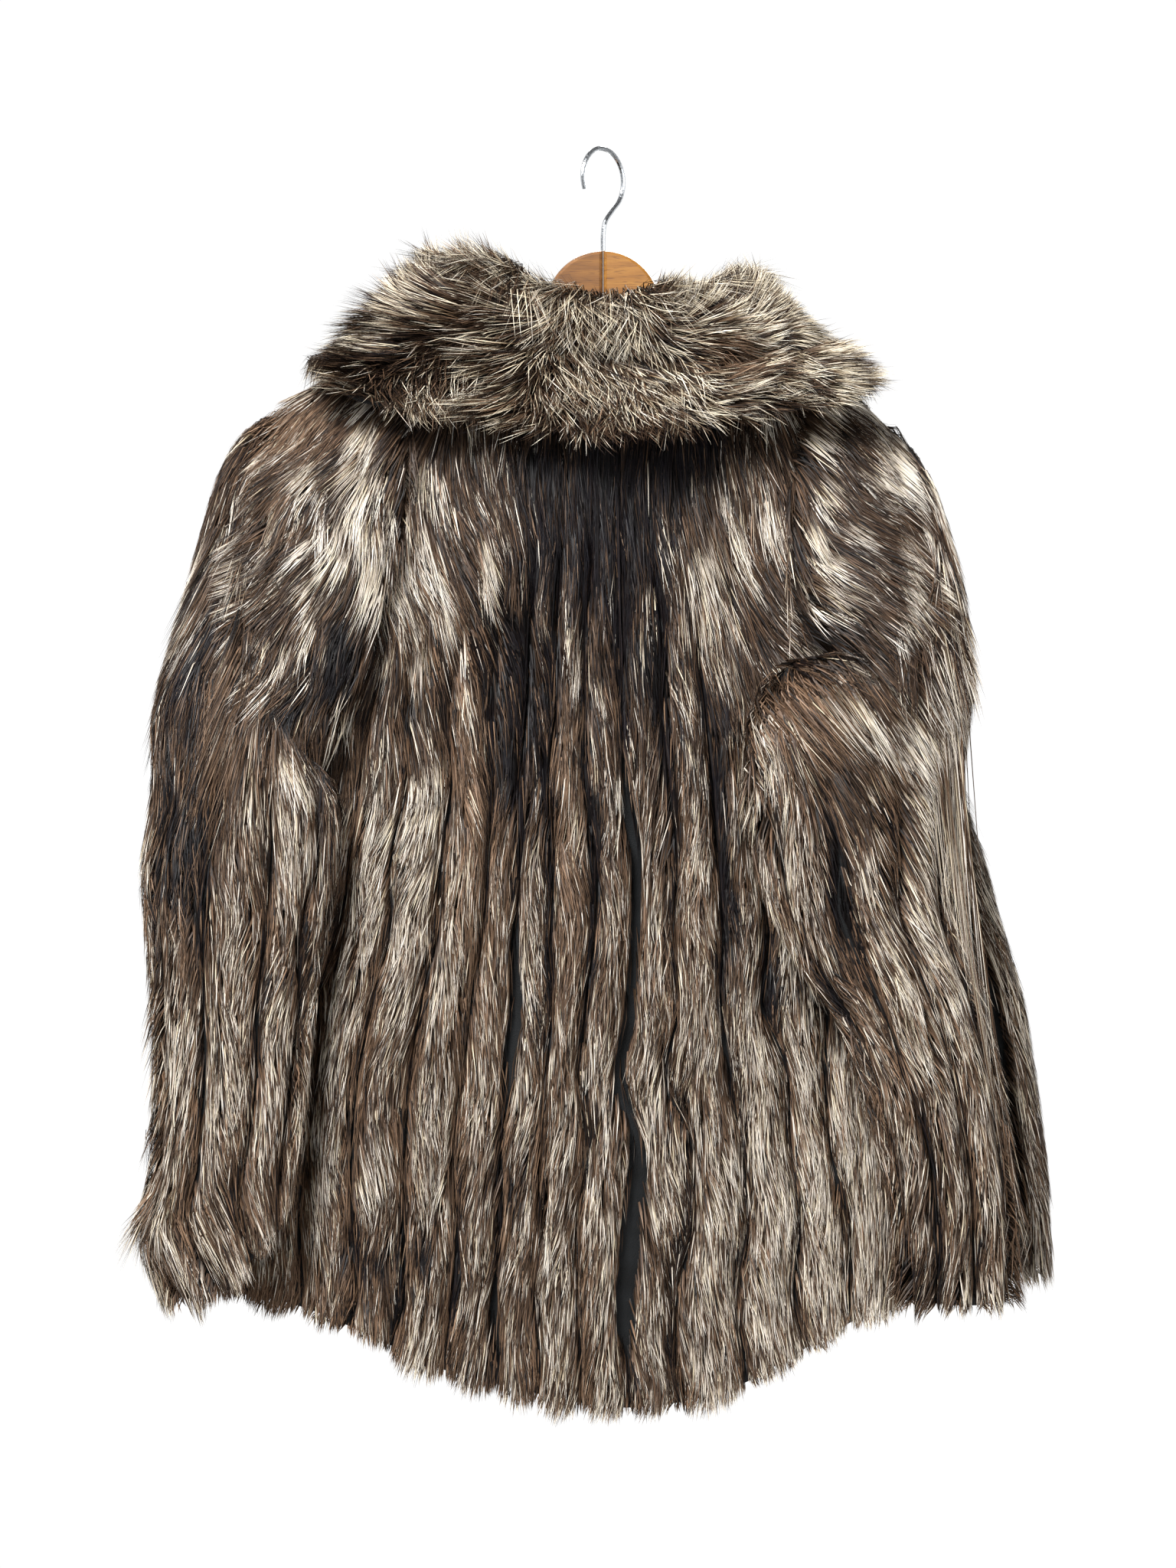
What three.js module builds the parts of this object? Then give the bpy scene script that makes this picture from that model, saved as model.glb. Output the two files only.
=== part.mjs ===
import * as THREE from 'three';

// Fur coat seen from its back, hanging on a wooden hanger. Millimetres, +Z up.
// The origin is the inner top of the hook, where the coat is held. The back of the coat
// faces -Y, its open front +Y, and the wearer's left is at -X.

// Seams, walls and strips
const seamGap = 0.3;
const restGap = 1.6;
const crestHeight = 17;
const grooveHeight = 5.5;
const edgeHeight = 13;
const armholeHeight = 11;
const besideArmholeHeight = 9.35;
const shoulderHeight = 13;
const columnsPerStrip = 4;
const frontStrips = 8;
const sleeveStrips = 10;
const furOverhang = 17;
const scallopDepth = 11;
const sectionPower = 2.5;
const stripFlatness = 0.6;
const stripFullness = 0.84;

// Shoulders, neck and armholes
const neckHalf = 85;
const neckTop = -136;
const neckBackDip = 5;
const frontBreak = -330;
const hangerTip = { x: 195, z: -196 };
const shoulderRound = 52;
const shoulderLean = { out: 0.48, up: 0.88 };
const shoulderBlend = 3;
const armholeDepth = 30;
const armholeRows = 7;
const sleeveSeam = 0.6;
const sleeveHeadStep = 8;
const skirtRows = 9;
const topRowCrowding = 1.6;
const frontGap = { atBreak: 1.5, atHem: 7 };
const frontCurve = 0.9;
const hemLevel = -1000;
const hemHalf = 340;
const hemDepth = 44;

// Left and right edges of the leather at the armholes and side seams, by height
const leftEdge = [
  { z: -206, x: -224 },
  { z: -310, x: -190 },
  { z: -385, x: -212 },
  { z: -440, x: -242 },
  { z: -500, x: -260 },
  { z: -600, x: -285 },
  { z: -700, x: -303 },
  { z: -800, x: -316 },
  { z: -960, x: -328 },
];
const rightEdge = [
  { z: -216, x: 214 },
  { z: -312, x: 166 },
  { z: -390, x: 202 },
  { z: -445, x: 248 },
  { z: -500, x: 270 },
  { z: -570, x: 297 },
  { z: -688, x: 329 },
  { z: -800, x: 346 },
  { z: -960, x: 353 },
];

// Half width that the middle strips follow, and half depth of the leather, by height
const trend = [
  { z: -130, left: -204, right: 200, depth: 40 },
  { z: -250, left: -208, right: 206, depth: 41 },
  { z: -440, left: -232, right: 238, depth: 37 },
  { z: -700, left: -282, right: 300, depth: 39 },
  { z: -1000, left: -328, right: 353, depth: 45 },
];

// Height of the fur's lower edge across the back and across the fronts
const backHem = [
  { x: -345, z: -908 },
  { x: -253, z: -921 },
  { x: -192, z: -943 },
  { x: -130, z: -972 },
  { x: -50, z: -991 },
  { x: 25, z: -1002 },
  { x: 99, z: -987 },
  { x: 168, z: -953 },
  { x: 217, z: -928 },
  { x: 290, z: -906 },
  { x: 370, z: -890 },
];
const frontHem = [
  { x: -345, z: -908 },
  { x: 0, z: -926 },
  { x: 370, z: -890 },
];

// Seams between the back's strips, as places across the hem between the two side seams
const backSeams = [-296, -252, -208, -165, -122, -82, -50, -16, 24, 68, 112, 155, 200, 246, 290, 330];

// Long soft folds that run down the panels: place across the hem, width and rise
const backFolds = [
  { x: -205, width: 30, rise: 6 },
  { x: -100, width: 34, rise: -8 },
  { x: -35, width: 26, rise: 4 },
  { x: 42, width: 24, rise: -4 },
  { x: 98, width: 30, rise: 7 },
  { x: 182, width: 28, rise: -5 },
];
const frontFolds = [
  { x: -190, width: 36, rise: 6 },
  { x: -95, width: 34, rise: -5 },
  { x: 100, width: 36, rise: 6 },
  { x: 200, width: 34, rise: -5 },
];
const armpitZ = leftEdge[3].z;
const sidePull = { skirt: 2, shoulder: 5 };
const foldTop = -300;
const foldFull = -640;

// Fur outline of each sleeve, a row for each section from the shoulder to the cuff: its outer
// edge, its inner edge, half its depth, and how much it follows the armhole's own line
const leftSleeve = [
  { outX: -258, outY: -4, outZ: -194, inX: -264, inY: -14, inZ: -462, depth: 46, follow: 0.5 },
  { outX: -294, outY: -10, outZ: -226, inX: -254, inY: -36, inZ: -478, depth: 48, follow: 0.1 },
  { outX: -313, outY: -18, outZ: -276, inX: -242, inY: -52, inZ: -488, depth: 48, follow: 0 },
  { outX: -328, outY: -30, outZ: -334, inX: -228, inY: -60, inZ: -496, depth: 46, follow: 0 },
  { outX: -347, outY: -42, outZ: -397, inX: -210, inY: -68, inZ: -506, depth: 43, follow: 0 },
  { outX: -361, outY: -52, outZ: -458, inX: -201, inY: -74, inZ: -528, depth: 41, follow: 0 },
  { outX: -362, outY: -60, outZ: -520, inX: -205, inY: -78, inZ: -566, depth: 40, follow: 0 },
  { outX: -367, outY: -64, outZ: -590, inX: -211, inY: -80, inZ: -612, depth: 40, follow: 0 },
  { outX: -362, outY: -66, outZ: -655, inX: -217, inY: -80, inZ: -660, depth: 40, follow: 0 },
  { outX: -359, outY: -67, outZ: -720, inX: -222, inY: -80, inZ: -706, depth: 39, follow: 0 },
  { outX: -360, outY: -67, outZ: -780, inX: -226, inY: -80, inZ: -746, depth: 39, follow: 0 },
  { outX: -362, outY: -66, outZ: -828, inX: -229, inY: -80, inZ: -776, depth: 39, follow: 0 },
  { outX: -368, outY: -64, outZ: -874, inX: -232, inY: -79, inZ: -800, depth: 39, follow: 0 },
  { outX: -356, outY: -62, outZ: -914, inX: -244, inY: -78, inZ: -826, depth: 38, follow: 0 },
];
const rightSleeve = [
  { outX: 242, outY: -4, outZ: -224, inX: 280, inY: -14, inZ: -464, depth: 46, follow: 0.5 },
  { outX: 264, outY: -10, outZ: -260, inX: 266, inY: -38, inZ: -468, depth: 47, follow: 0.1 },
  { outX: 276, outY: -18, outZ: -306, inX: 226, inY: -56, inZ: -450, depth: 45, follow: 0 },
  { outX: 288, outY: -28, outZ: -350, inX: 180, inY: -66, inZ: -424, depth: 42, follow: 0 },
  { outX: 295, outY: -40, outZ: -394, inX: 138, inY: -73, inZ: -412, depth: 39, follow: 0 },
  { outX: 295, outY: -50, outZ: -436, inX: 112, inY: -77, inZ: -440, depth: 36, follow: 0 },
  { outX: 291, outY: -58, outZ: -480, inX: 104, inY: -78, inZ: -492, depth: 35, follow: 0 },
  { outX: 286, outY: -62, outZ: -525, inX: 106, inY: -79, inZ: -545, depth: 35, follow: 0 },
  { outX: 281, outY: -64, outZ: -572, inX: 120, inY: -80, inZ: -600, depth: 36, follow: 0 },
  { outX: 289, outY: -65, outZ: -622, inX: 148, inY: -80, inZ: -650, depth: 37, follow: 0 },
  { outX: 303, outY: -65, outZ: -682, inX: 178, inY: -80, inZ: -700, depth: 38, follow: 0 },
  { outX: 316, outY: -65, outZ: -744, inX: 198, inY: -79, inZ: -752, depth: 38, follow: 0 },
  { outX: 326, outY: -64, outZ: -800, inX: 210, inY: -78, inZ: -800, depth: 38, follow: 0 },
  { outX: 330, outY: -63, outZ: -858, inX: 218, inY: -77, inZ: -852, depth: 38, follow: 0 },
  { outX: 328, outY: -62, outZ: -912, inX: 221, inY: -76, inZ: -906, depth: 37, follow: 0 },
];
const cuffSag = { left: 24, right: 6 };
const cuffTuck = 0.35;
const edgeTurn = 24;
const furthestPush = 6;
const pushStep = 0.02;

// The collar's leather line from its seam over the roll to its lower edge, at places round the
// neck from the left front end to the right front end: turn 0 and 1 are the ends, 0.5 the back
const collarGuide = [
  { turn: 0.0, rollX: -5, rollY: 62, rollZ: -322, edgeX: -34, edgeY: 66, edgeZ: -352, fur: 12 },
  { turn: 0.1, rollX: -20, rollY: 64, rollZ: -260, edgeX: -104, edgeY: 68, edgeZ: -296, fur: 17 },
  { turn: 0.2, rollX: -56, rollY: 54, rollZ: -176, edgeX: -158, edgeY: 66, edgeZ: -236, fur: 21 },
  { turn: 0.25, rollX: -82, rollY: 34, rollZ: -126, edgeX: -198, edgeY: 44, edgeZ: -202, fur: 24 },
  { turn: 0.3, rollX: -119, rollY: -2, rollZ: -94, edgeX: -223, edgeY: -4, edgeZ: -174, fur: 25 },
  { turn: 0.38, rollX: -84, rollY: -56, rollZ: -110, edgeX: -196, edgeY: -66, edgeZ: -206, fur: 24 },
  { turn: 0.44, rollX: -44, rollY: -64, rollZ: -124, edgeX: -98, edgeY: -72, edgeZ: -221, fur: 21 },
  { turn: 0.5, rollX: 0, rollY: -67, rollZ: -134, edgeX: 2, edgeY: -74, edgeZ: -229, fur: 20 },
  { turn: 0.56, rollX: 46, rollY: -64, rollZ: -128, edgeX: 102, edgeY: -72, edgeZ: -221, fur: 20 },
  { turn: 0.62, rollX: 84, rollY: -56, rollZ: -123, edgeX: 182, edgeY: -66, edgeZ: -208, fur: 20 },
  { turn: 0.7, rollX: 110, rollY: -2, rollZ: -109, edgeX: 206, edgeY: -6, edgeZ: -186, fur: 16 },
  { turn: 0.75, rollX: 84, rollY: 39, rollZ: -122, edgeX: 190, edgeY: 44, edgeZ: -208, fur: 18 },
  { turn: 0.8, rollX: 56, rollY: 54, rollZ: -176, edgeX: 158, edgeY: 66, edgeZ: -236, fur: 19 },
  { turn: 0.9, rollX: 20, rollY: 64, rollZ: -260, edgeX: 104, edgeY: 68, edgeZ: -296, fur: 17 },
  { turn: 1.0, rollX: 5, rollY: 62, rollZ: -322, edgeX: 34, edgeY: 66, edgeZ: -352, fur: 12 },
];
const neckTurn = 0.3;
const collarStations = 44;
const collarSteps = 8;
const standFur = 5;
const collarSeat = { draw: new THREE.Vector3(0.98, 1.035, 1), lift: new THREE.Vector3(0, 0, 2.5) };
const collarRest = 2;
const rollShare = 0.3;

// Hanger and hook
const bossRadius = 46;
const bossTop = -80.5;
const woodThickness = 14;
const woodBevel = 5;
const woodBevelWidth = 3;
const hangerClearance = 3;
const hangerSegments = 7;
const armSeat = 132;
const armHollow = { x: 65, drop: 24 };
const armBelly = { x: 110, z: -172 };
const bossShoulder = THREE.MathUtils.degToRad(24);
const hangerTipRadius = 10;
const hangerBottom = -152;
const wireRadius = 1.9;
const hookRadius = 24.8;
const hookTurn = THREE.MathUtils.degToRad(49);
const hookSteps = 44;
const wireSides = 8;

// Round end of the hanger's arm, as curves measured from the tip of its top line
const tipCurves = [
  { pullX: 0, pullZ: 0, endX: -2, endZ: -12 },
  { pullX: -4, pullZ: -22, endX: -16, endZ: -19 },
];

// The wire's way up from the boss: how far it leans out, and its height
const hookStem = [
  { out: 0, z: -68 },
  { out: 2.5, z: -57 },
  { out: 11, z: -47 },
  { out: 20, z: -38 },
];
const hookBend = { from: -16, to: 204, step: 20 };

const furBrown = new THREE.MeshStandardMaterial({ color: '#7d6c5f', roughness: 0.95, metalness: 0 });
const furGrey = new THREE.MeshStandardMaterial({ color: '#958a7e', roughness: 0.95, metalness: 0 });
const furCream = new THREE.MeshStandardMaterial({ color: '#a59882', roughness: 0.95, metalness: 0 });
const beechDark = new THREE.MeshStandardMaterial({ color: '#b97c3f', roughness: 0.45, metalness: 0 });
const beechLight = new THREE.MeshStandardMaterial({ color: '#cf9650', roughness: 0.45, metalness: 0 });
const steel = new THREE.MeshStandardMaterial({ color: '#b9bcc0', roughness: 0.25, metalness: 1 });

// A column of a short table at any key, on a smooth curve through its rows
function tableValue(table, key, column, at) {
  const rising = table[table.length - 1][key] > table[0][key];
  const before = (row) => (rising ? row[key] <= at : row[key] >= at);
  let low = 0;
  while (low < table.length - 2 && before(table[low + 1])) {
    low += 1;
  }
  const [a, b] = [table[low], table[low + 1]];
  const span = b[key] - a[key];
  const part = THREE.MathUtils.clamp((at - a[key]) / span, 0, 1);
  const slope = (index) => {
    const from = table[Math.max(index - 1, 0)];
    const to = table[Math.min(index + 1, table.length - 1)];
    return (to[column] - from[column]) / (to[key] - from[key]);
  };
  const rise = b[column] - a[column];
  const early = slope(low) * span - rise;
  const late = rise - slope(low + 1) * span;
  const bend = part * (1 - part) * (early * (1 - part) + late * part);
  return a[column] + rise * part + bend;
}

// Angles that split half of a rounded flat section into steps of equal length
function evenAngles(steps, from, to, half, depth) {
  const samples = 600;
  const lengths = [0];
  const angleAt = (index) => from + ((to - from) * index) / samples;
  const pointAt = (angle) => new THREE.Vector2(half * roundCos(angle), depth * roundSin(angle));
  for (let index = 1; index <= samples; index += 1) {
    const step = pointAt(angleAt(index)).distanceTo(pointAt(angleAt(index - 1)));
    lengths.push(lengths[index - 1] + step);
  }
  const angles = [];
  for (let step = 0; step <= steps; step += 1) {
    const wanted = (lengths[samples] * step) / steps;
    const above = Math.max(1, lengths.findIndex((length) => length >= wanted - 1e-9));
    const part = (wanted - lengths[above - 1]) / (lengths[above] - lengths[above - 1]);
    angles.push(angleAt(above - 1 + part));
  }
  return angles;
}

// Angles of the back's columns, a few for each strip, from one side seam to the other
function backColumns() {
  const ends = trend[trend.length - 1];
  const seams = backSeams.map((x) => {
    const leftwards = x < 0 ? x / ends.left : -x / ends.right;
    return Math.acos(Math.sign(leftwards) * Math.abs(leftwards) ** (sectionPower / 2));
  });
  const bounds = [0, ...seams, Math.PI];
  return bounds.slice(1).reduce((angles, to, index) => {
    const strip = evenAngles(columnsPerStrip, bounds[index], to, hemHalf, hemDepth);
    return [...angles, ...strip.slice(1)];
  }, [0]);
}

// Cosine and sine drawn out so that the section is flatter than an ellipse
function roundCos(angle) {
  return Math.sign(Math.cos(angle)) * Math.abs(Math.cos(angle)) ** (2 / sectionPower);
}

function roundSin(angle) {
  return Math.abs(Math.sin(angle)) ** (2 / sectionPower);
}

// Where the armhole or side seam lies, and how far its edge stands from the middle plane
function edgeX(across, z) {
  return across < 0 ? tableValue(leftEdge, 'z', 'x', z) : tableValue(rightEdge, 'z', 'x', z);
}

function armholeEdge(across, z) {
  const table = across < 0 ? leftEdge : rightEdge;
  const [top, bottom] = [table[0].z, table[3].z];
  const part = THREE.MathUtils.clamp((top - z) / (top - bottom), 0, 1);
  return armholeDepth * Math.sin(Math.PI * part);
}

// Place across the body: the middle strips follow a straight flare, the outer ones the edge
function acrossX(across, z) {
  const flare = Math.abs(across) * Math.abs(tableValue(trend, 'z', across < 0 ? 'left' : 'right', z));
  const edge = Math.abs(across) * Math.abs(edgeX(across, z));
  const pull = Math.abs(across) ** (z < armpitZ ? sidePull.skirt : sidePull.shoulder);
  return Math.sign(across) * (flare + (edge - flare) * pull);
}

// Height of the shoulder line: straight over the hanger, then down to the sleeve
function shoulderLine(x, side) {
  const end = side < 0 ? leftEdge[0] : rightEdge[0];
  const slope = (hangerTip.z - neckTop) / (hangerTip.x - neckHalf);
  const onHanger = neckTop + slope * (Math.min(x, hangerTip.x) - neckHalf);
  const beyond = THREE.MathUtils.clamp((x - hangerTip.x) / (Math.abs(end.x) - hangerTip.x), 0, 1);
  return onHanger + (end.z - hangerTip.z) * beyond;
}

// Height of the shoulder line and of the back or front neckline
function topHeight(across, isBack) {
  const x = Math.abs(acrossX(across, neckTop));
  if (x >= neckHalf) {
    return shoulderLine(x, Math.sign(across));
  }
  const inward = 1 - x / neckHalf;
  if (isBack) {
    return neckTop - neckBackDip * Math.sin((Math.PI / 2) * inward);
  }
  return neckTop + (frontBreak - neckTop) * inward ** frontCurve;
}

// Height at each row: crowded at the shoulder, even from the armpit to the hem
function rowHeight(row, across, isBack, hemZ) {
  const armpit = across < 0 ? armpitZ : rightEdge[3].z;
  const level = THREE.MathUtils.lerp(armpitZ, armpit, Math.abs(across));
  if (row <= armholeRows) {
    const part = (row / armholeRows) ** topRowCrowding;
    return THREE.MathUtils.lerp(topHeight(across, isBack), level, part);
  }
  return THREE.MathUtils.lerp(level, hemZ, (row - armholeRows) / skirtRows);
}

// Rise of the long folds at a place across the hem and a height
function foldRise(folds, hemX, z) {
  const strength = THREE.MathUtils.smoothstep(-z, -foldTop, -foldFull);
  let rise = 0;
  for (const fold of folds) {
    rise += fold.rise * Math.exp(-(((hemX - fold.x) / fold.width) ** 2));
  }
  return rise * strength;
}

// Half depth of the leather: it closes over the shoulder and stays open at neck and armhole
function halfDepth(across, bow, z, topZ, isBack) {
  const x = Math.abs(acrossX(across, neckTop));
  const full = tableValue(trend, 'z', 'depth', z);
  const edge = armholeEdge(across, z);
  const hemX = acrossX(across, hemLevel);
  const folds = foldRise(isBack ? backFolds : frontFolds, hemX, z) * bow;
  const open = edge + (full - edge) * bow + folds;
  const neck = x < neckHalf ? full * Math.sqrt(1 - (x / neckHalf) ** 2) : 0;
  const down = THREE.MathUtils.clamp((topZ - z) / shoulderRound, 0, 1);
  const closing = Math.sqrt(1 - (1 - down) ** 2);
  return neck + (open - neck) * closing;
}

// A point of the leather from its angle round the section and its row
function leatherPoint(angle, row, panel) {
  const across = -roundCos(angle);
  const bow = roundSin(angle);
  const hemX = acrossX(across, hemLevel);
  const hemZ = tableValue(panel.isBack ? backHem : frontHem, 'x', 'z', hemX);
  const z = rowHeight(row, across, panel.isBack, hemZ);
  const topZ = topHeight(across, panel.isBack);
  const y = halfDepth(across, bow, z, topZ, panel.isBack) + seamGap / 2;
  const down = THREE.MathUtils.clamp((z - frontBreak) / (hemZ - frontBreak), 0, 1);
  const gap = THREE.MathUtils.lerp(frontGap.atBreak, frontGap.atHem, down);
  const x = acrossX(across, z);
  if (panel.isBack) {
    return new THREE.Vector3(x, -y, z);
  }
  const narrowed = Math.abs(x) * (1 - gap / Math.abs(edgeX(across, z)));
  return new THREE.Vector3(panel.side * (gap + narrowed), y, z);
}

// How high the fur stands over the leather at a strip place, 0 at a seam between strips
function stripHeight(strip, row, shift) {
  const index = Math.floor(strip);
  const hump = Math.sin(Math.PI * (strip - index)) ** stripFlatness;
  const uneven = 0.1 * Math.sin(2.1 * index + shift) + 0.07 * Math.sin(5.3 * index + 0.9 * row);
  return grooveHeight + (crestHeight - grooveHeight) * hump * (stripFullness + uneven);
}

function faceNormals(points, outward) {
  return points.map((list, row) => list.map((point, column) => {
    const left = list[Math.max(column - 1, 0)];
    const right = list[Math.min(column + 1, list.length - 1)];
    const above = points[Math.max(row - 1, 0)][column];
    const below = points[Math.min(row + 1, points.length - 1)][column];
    const normal = right.clone().sub(left).cross(below.clone().sub(above)).normalize();
    return normal.multiplyScalar(outward);
  }));
}

// Direction in which the wall is thick along the shoulder, armhole and side seam
function edgeDirection(side, row, depthSign) {
  if (row >= armholeRows) {
    const drop = row === armholeRows ? 1.1 : 0;
    return new THREE.Vector3(side, 0, -drop).normalize();
  }
  const part = (row / armholeRows) ** topRowCrowding;
  const turn = Math.sin(Math.PI * part);
  const lift = 0.9 * (1 - part) ** 2 - 0.5 * part ** 3;
  return new THREE.Vector3(side * (0.45 + 0.2 * part), depthSign * turn, lift).normalize();
}

function panelGrids(panel) {
  const columns = panel.angles.length;
  const rows = armholeRows + skirtRows + 1;
  const depthSign = panel.isBack ? -1 : 1;
  const leather = [];
  for (let row = 0; row < rows; row += 1) {
    leather.push(panel.angles.map((angle) => leatherPoint(angle, row, panel)));
  }
  const normals = faceNormals(leather, depthSign);
  const outer = leather.map((list, row) => list.map((point, column) => {
    const atEdge = (column === 0 && panel.leftSide) || (column === columns - 1 && panel.rightSide);
    const side = column === 0 ? -1 : 1;
    const strip = column / columnsPerStrip;
    const normal = normals[row][column].clone();
    const topX = Math.abs(leather[0][column].x);
    if (row === 0 && topX >= neckHalf - 2) {
      normal.set(Math.sign(point.x) * shoulderLean.out, 0, shoulderLean.up);
    }
    let height = stripHeight(strip, row, panel.shift);
    height = THREE.MathUtils.lerp(shoulderHeight, height, Math.min(row / shoulderBlend, 1));
    const fromLeft = panel.leftSide ? column : columns;
    const fromRight = panel.rightSide ? columns - 1 - column : columns;
    const fromSide = Math.min(fromLeft, fromRight);
    if (row <= armholeRows && row > 0 && fromSide < columnsPerStrip) {
      const away = fromSide / columnsPerStrip;
      height = THREE.MathUtils.lerp(besideArmholeHeight, height, away);
      const direction = edgeDirection(Math.sign(point.x), row, depthSign);
      normal.lerp(direction, 1 - away).normalize();
    }
    if (atEdge) {
      normal.copy(edgeDirection(side, row, depthSign));
      height = row <= armholeRows ? armholeHeight : edgeHeight;
    }
    const result = point.clone().addScaledVector(normal, height);
    const tuck = scallopDepth * (1 - (height - grooveHeight) / (crestHeight - grooveHeight));
    result.z += row === rows - 1 ? tuck : 0;
    result.y = depthSign * Math.max(depthSign * result.y, seamGap / 2);
    if (!panel.isBack) {
      result.x = panel.side * Math.max(panel.side * result.x, frontGap.atBreak);
    }
    return result;
  }));
  const inner = leather.map((list) => list.filter((point, column) => column % columnsPerStrip === 0));
  const last = inner.length - 1;
  inner[last] = inner[last].map((point) => point.clone().setZ(point.z + furOverhang));
  return { leather, outer, inner };
}

// Triangles between two lists of vertex numbers that may differ in count
function stitch(triangles, first, second, flip) {
  let [a, b] = [0, 0];
  while (a < first.length - 1 || b < second.length - 1) {
    const nextA = a < first.length - 1 ? first[a + 1].at : Infinity;
    const nextB = b < second.length - 1 ? second[b + 1].at : Infinity;
    const useA = nextA <= nextB;
    const corner = useA ? first[a + 1].id : second[b + 1].id;
    const triangle = [first[a].id, second[b].id, corner];
    triangles.push(flip ? [triangle[0], triangle[2], triangle[1]] : triangle);
    a += useA ? 1 : 0;
    b += useA ? 0 : 1;
  }
}

// A closed wall from an outer and an inner grid of points, open sheet or tube. Its side rims
// are split from the top down or from the bottom up, as the piece sewn to it is
function wallGeometry(outer, inner, isTube, sidesFromBottom = false) {
  const vertices = [];
  const triangles = [];
  const number = (list) => {
    const lengths = [0];
    const around = isTube ? [...list, list[0]] : list;
    for (let index = 1; index < around.length; index += 1) {
      lengths.push(lengths[index - 1] + around[index].distanceTo(around[index - 1]));
    }
    const start = vertices.length;
    vertices.push(...list);
    return around.map((point, index) => {
      return { id: start + (index % list.length), index, length: lengths[index] };
    });
  };
  const outerRows = outer.map(number);
  const innerRows = inner.map(number);
  const even = (list) => list.map((one) => ({ id: one.id, at: one.index / (list.length - 1) }));
  const byLength = (list) => {
    const whole = list[list.length - 1].length;
    return list.map((one) => ({ id: one.id, at: one.length / whole }));
  };
  const join = (first, second, flip) => {
    const place = first.length === second.length || !isTube ? even : byLength;
    stitch(triangles, place(first), place(second), flip);
  };
  for (let row = 1; row < outerRows.length; row += 1) {
    join(outerRows[row - 1], outerRows[row], false);
  }
  for (let row = 1; row < innerRows.length; row += 1) {
    join(innerRows[row - 1], innerRows[row], true);
  }
  join(outerRows[0], innerRows[0], true);
  join(outerRows[outerRows.length - 1], innerRows[innerRows.length - 1], false);
  if (!isTube) {
    const column = (rows, last) => {
      const list = rows.map((points) => ({ id: points[last ? points.length - 1 : 0].id }));
      const ordered = sidesFromBottom ? list.reverse() : list;
      return ordered.map((one, index) => ({ ...one, index }));
    };
    join(column(outerRows, false), column(innerRows, false), sidesFromBottom);
    join(column(outerRows, true), column(innerRows, true), !sidesFromBottom);
  }
  return closedGeometry(vertices, triangles);
}

// Geometry with its faces turned outwards
function closedGeometry(vertices, triangles) {
  const volume = triangles.reduce((sum, [a, b, c]) => {
    return sum + vertices[a].dot(vertices[b].clone().cross(vertices[c]));
  }, 0);
  const ordered = volume > 0 ? triangles : triangles.map(([a, b, c]) => [a, c, b]);
  const geometry = new THREE.BufferGeometry();
  const flat = vertices.flatMap((vertex) => vertex.toArray());
  geometry.setAttribute('position', new THREE.Float32BufferAttribute(flat, 3));
  geometry.setIndex(ordered.flat());
  geometry.computeVertexNormals();
  return geometry;
}

// Half depth of the back's fur crest at a place, or none beyond its edge
function crestDepth(x, z) {
  const side = Math.sign(x) || 1;
  const edge = Math.abs(edgeX(side, z));
  const reach = z < armpitZ ? edge + crestHeight + restGap : edge;
  const across = Math.abs(x) / reach;
  if (across >= 1) {
    return null;
  }
  const bow = (1 - across ** sectionPower) ** (1 / sectionPower);
  const open = armholeEdge(side, z);
  const full = tableValue(trend, 'z', 'depth', z) + foldRise(backFolds, x, z);
  const besideArmhole = z < armpitZ ? 0 : crestHeight * (1 - bow);
  return open + (full - open + crestHeight + restGap) * bow + besideArmhole;
}

// Moves a sleeve point off the body's crest, round the body's side edge
function clearOfBody(point) {
  const depth = crestDepth(point.x, point.z);
  if (depth === null || Math.abs(point.y) >= depth) {
    return point;
  }
  const side = Math.sign(point.x);
  const centre = Math.abs(edgeX(side, point.z)) - edgeTurn;
  const beyond = Math.abs(point.x) - centre;
  if (beyond <= 0 || point.z > armpitZ) {
    return point.setY(-depth);
  }
  const start = point.clone();
  for (let grow = 1; grow < furthestPush; grow += pushStep) {
    point.set(side * (centre + beyond * grow), start.y * grow, start.z);
    const now = crestDepth(point.x, point.z);
    if (now === null || Math.abs(point.y) >= now) {
      break;
    }
  }
  return point;
}

// Moves a collar point off the fur of the shoulder, back and front below it
function clearOfShoulder(point) {
  const x = Math.abs(point.x);
  const reach = crestHeight + collarRest;
  const depth = tableValue(trend, 'z', 'depth', point.z) + reach;
  const top = shoulderLine(Math.max(x, neckHalf), point.x);
  const centre = top - shoulderRound;
  const ratio = Math.hypot(point.y / depth, (point.z - centre) / (shoulderRound + reach));
  if (point.z <= centre) {
    return point.setY(Math.sign(point.y) * Math.max(Math.abs(point.y), depth));
  }
  if (x >= neckHalf && ratio < 1) {
    point.y /= ratio;
    point.z = centre + (point.z - centre) / ratio;
  }
  return point;
}

// A point on a list of points joined in a loop, by its share of the whole length
function alongLoop(points, share) {
  const around = [...points, points[0]];
  const lengths = [0];
  for (let index = 1; index < around.length; index += 1) {
    lengths.push(lengths[index - 1] + around[index].distanceTo(around[index - 1]));
  }
  const wanted = share * lengths[lengths.length - 1];
  const above = Math.max(1, lengths.findIndex((length) => length >= wanted));
  const part = (wanted - lengths[above - 1]) / (lengths[above] - lengths[above - 1]);
  return around[above - 1].clone().lerp(around[above], part);
}

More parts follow.
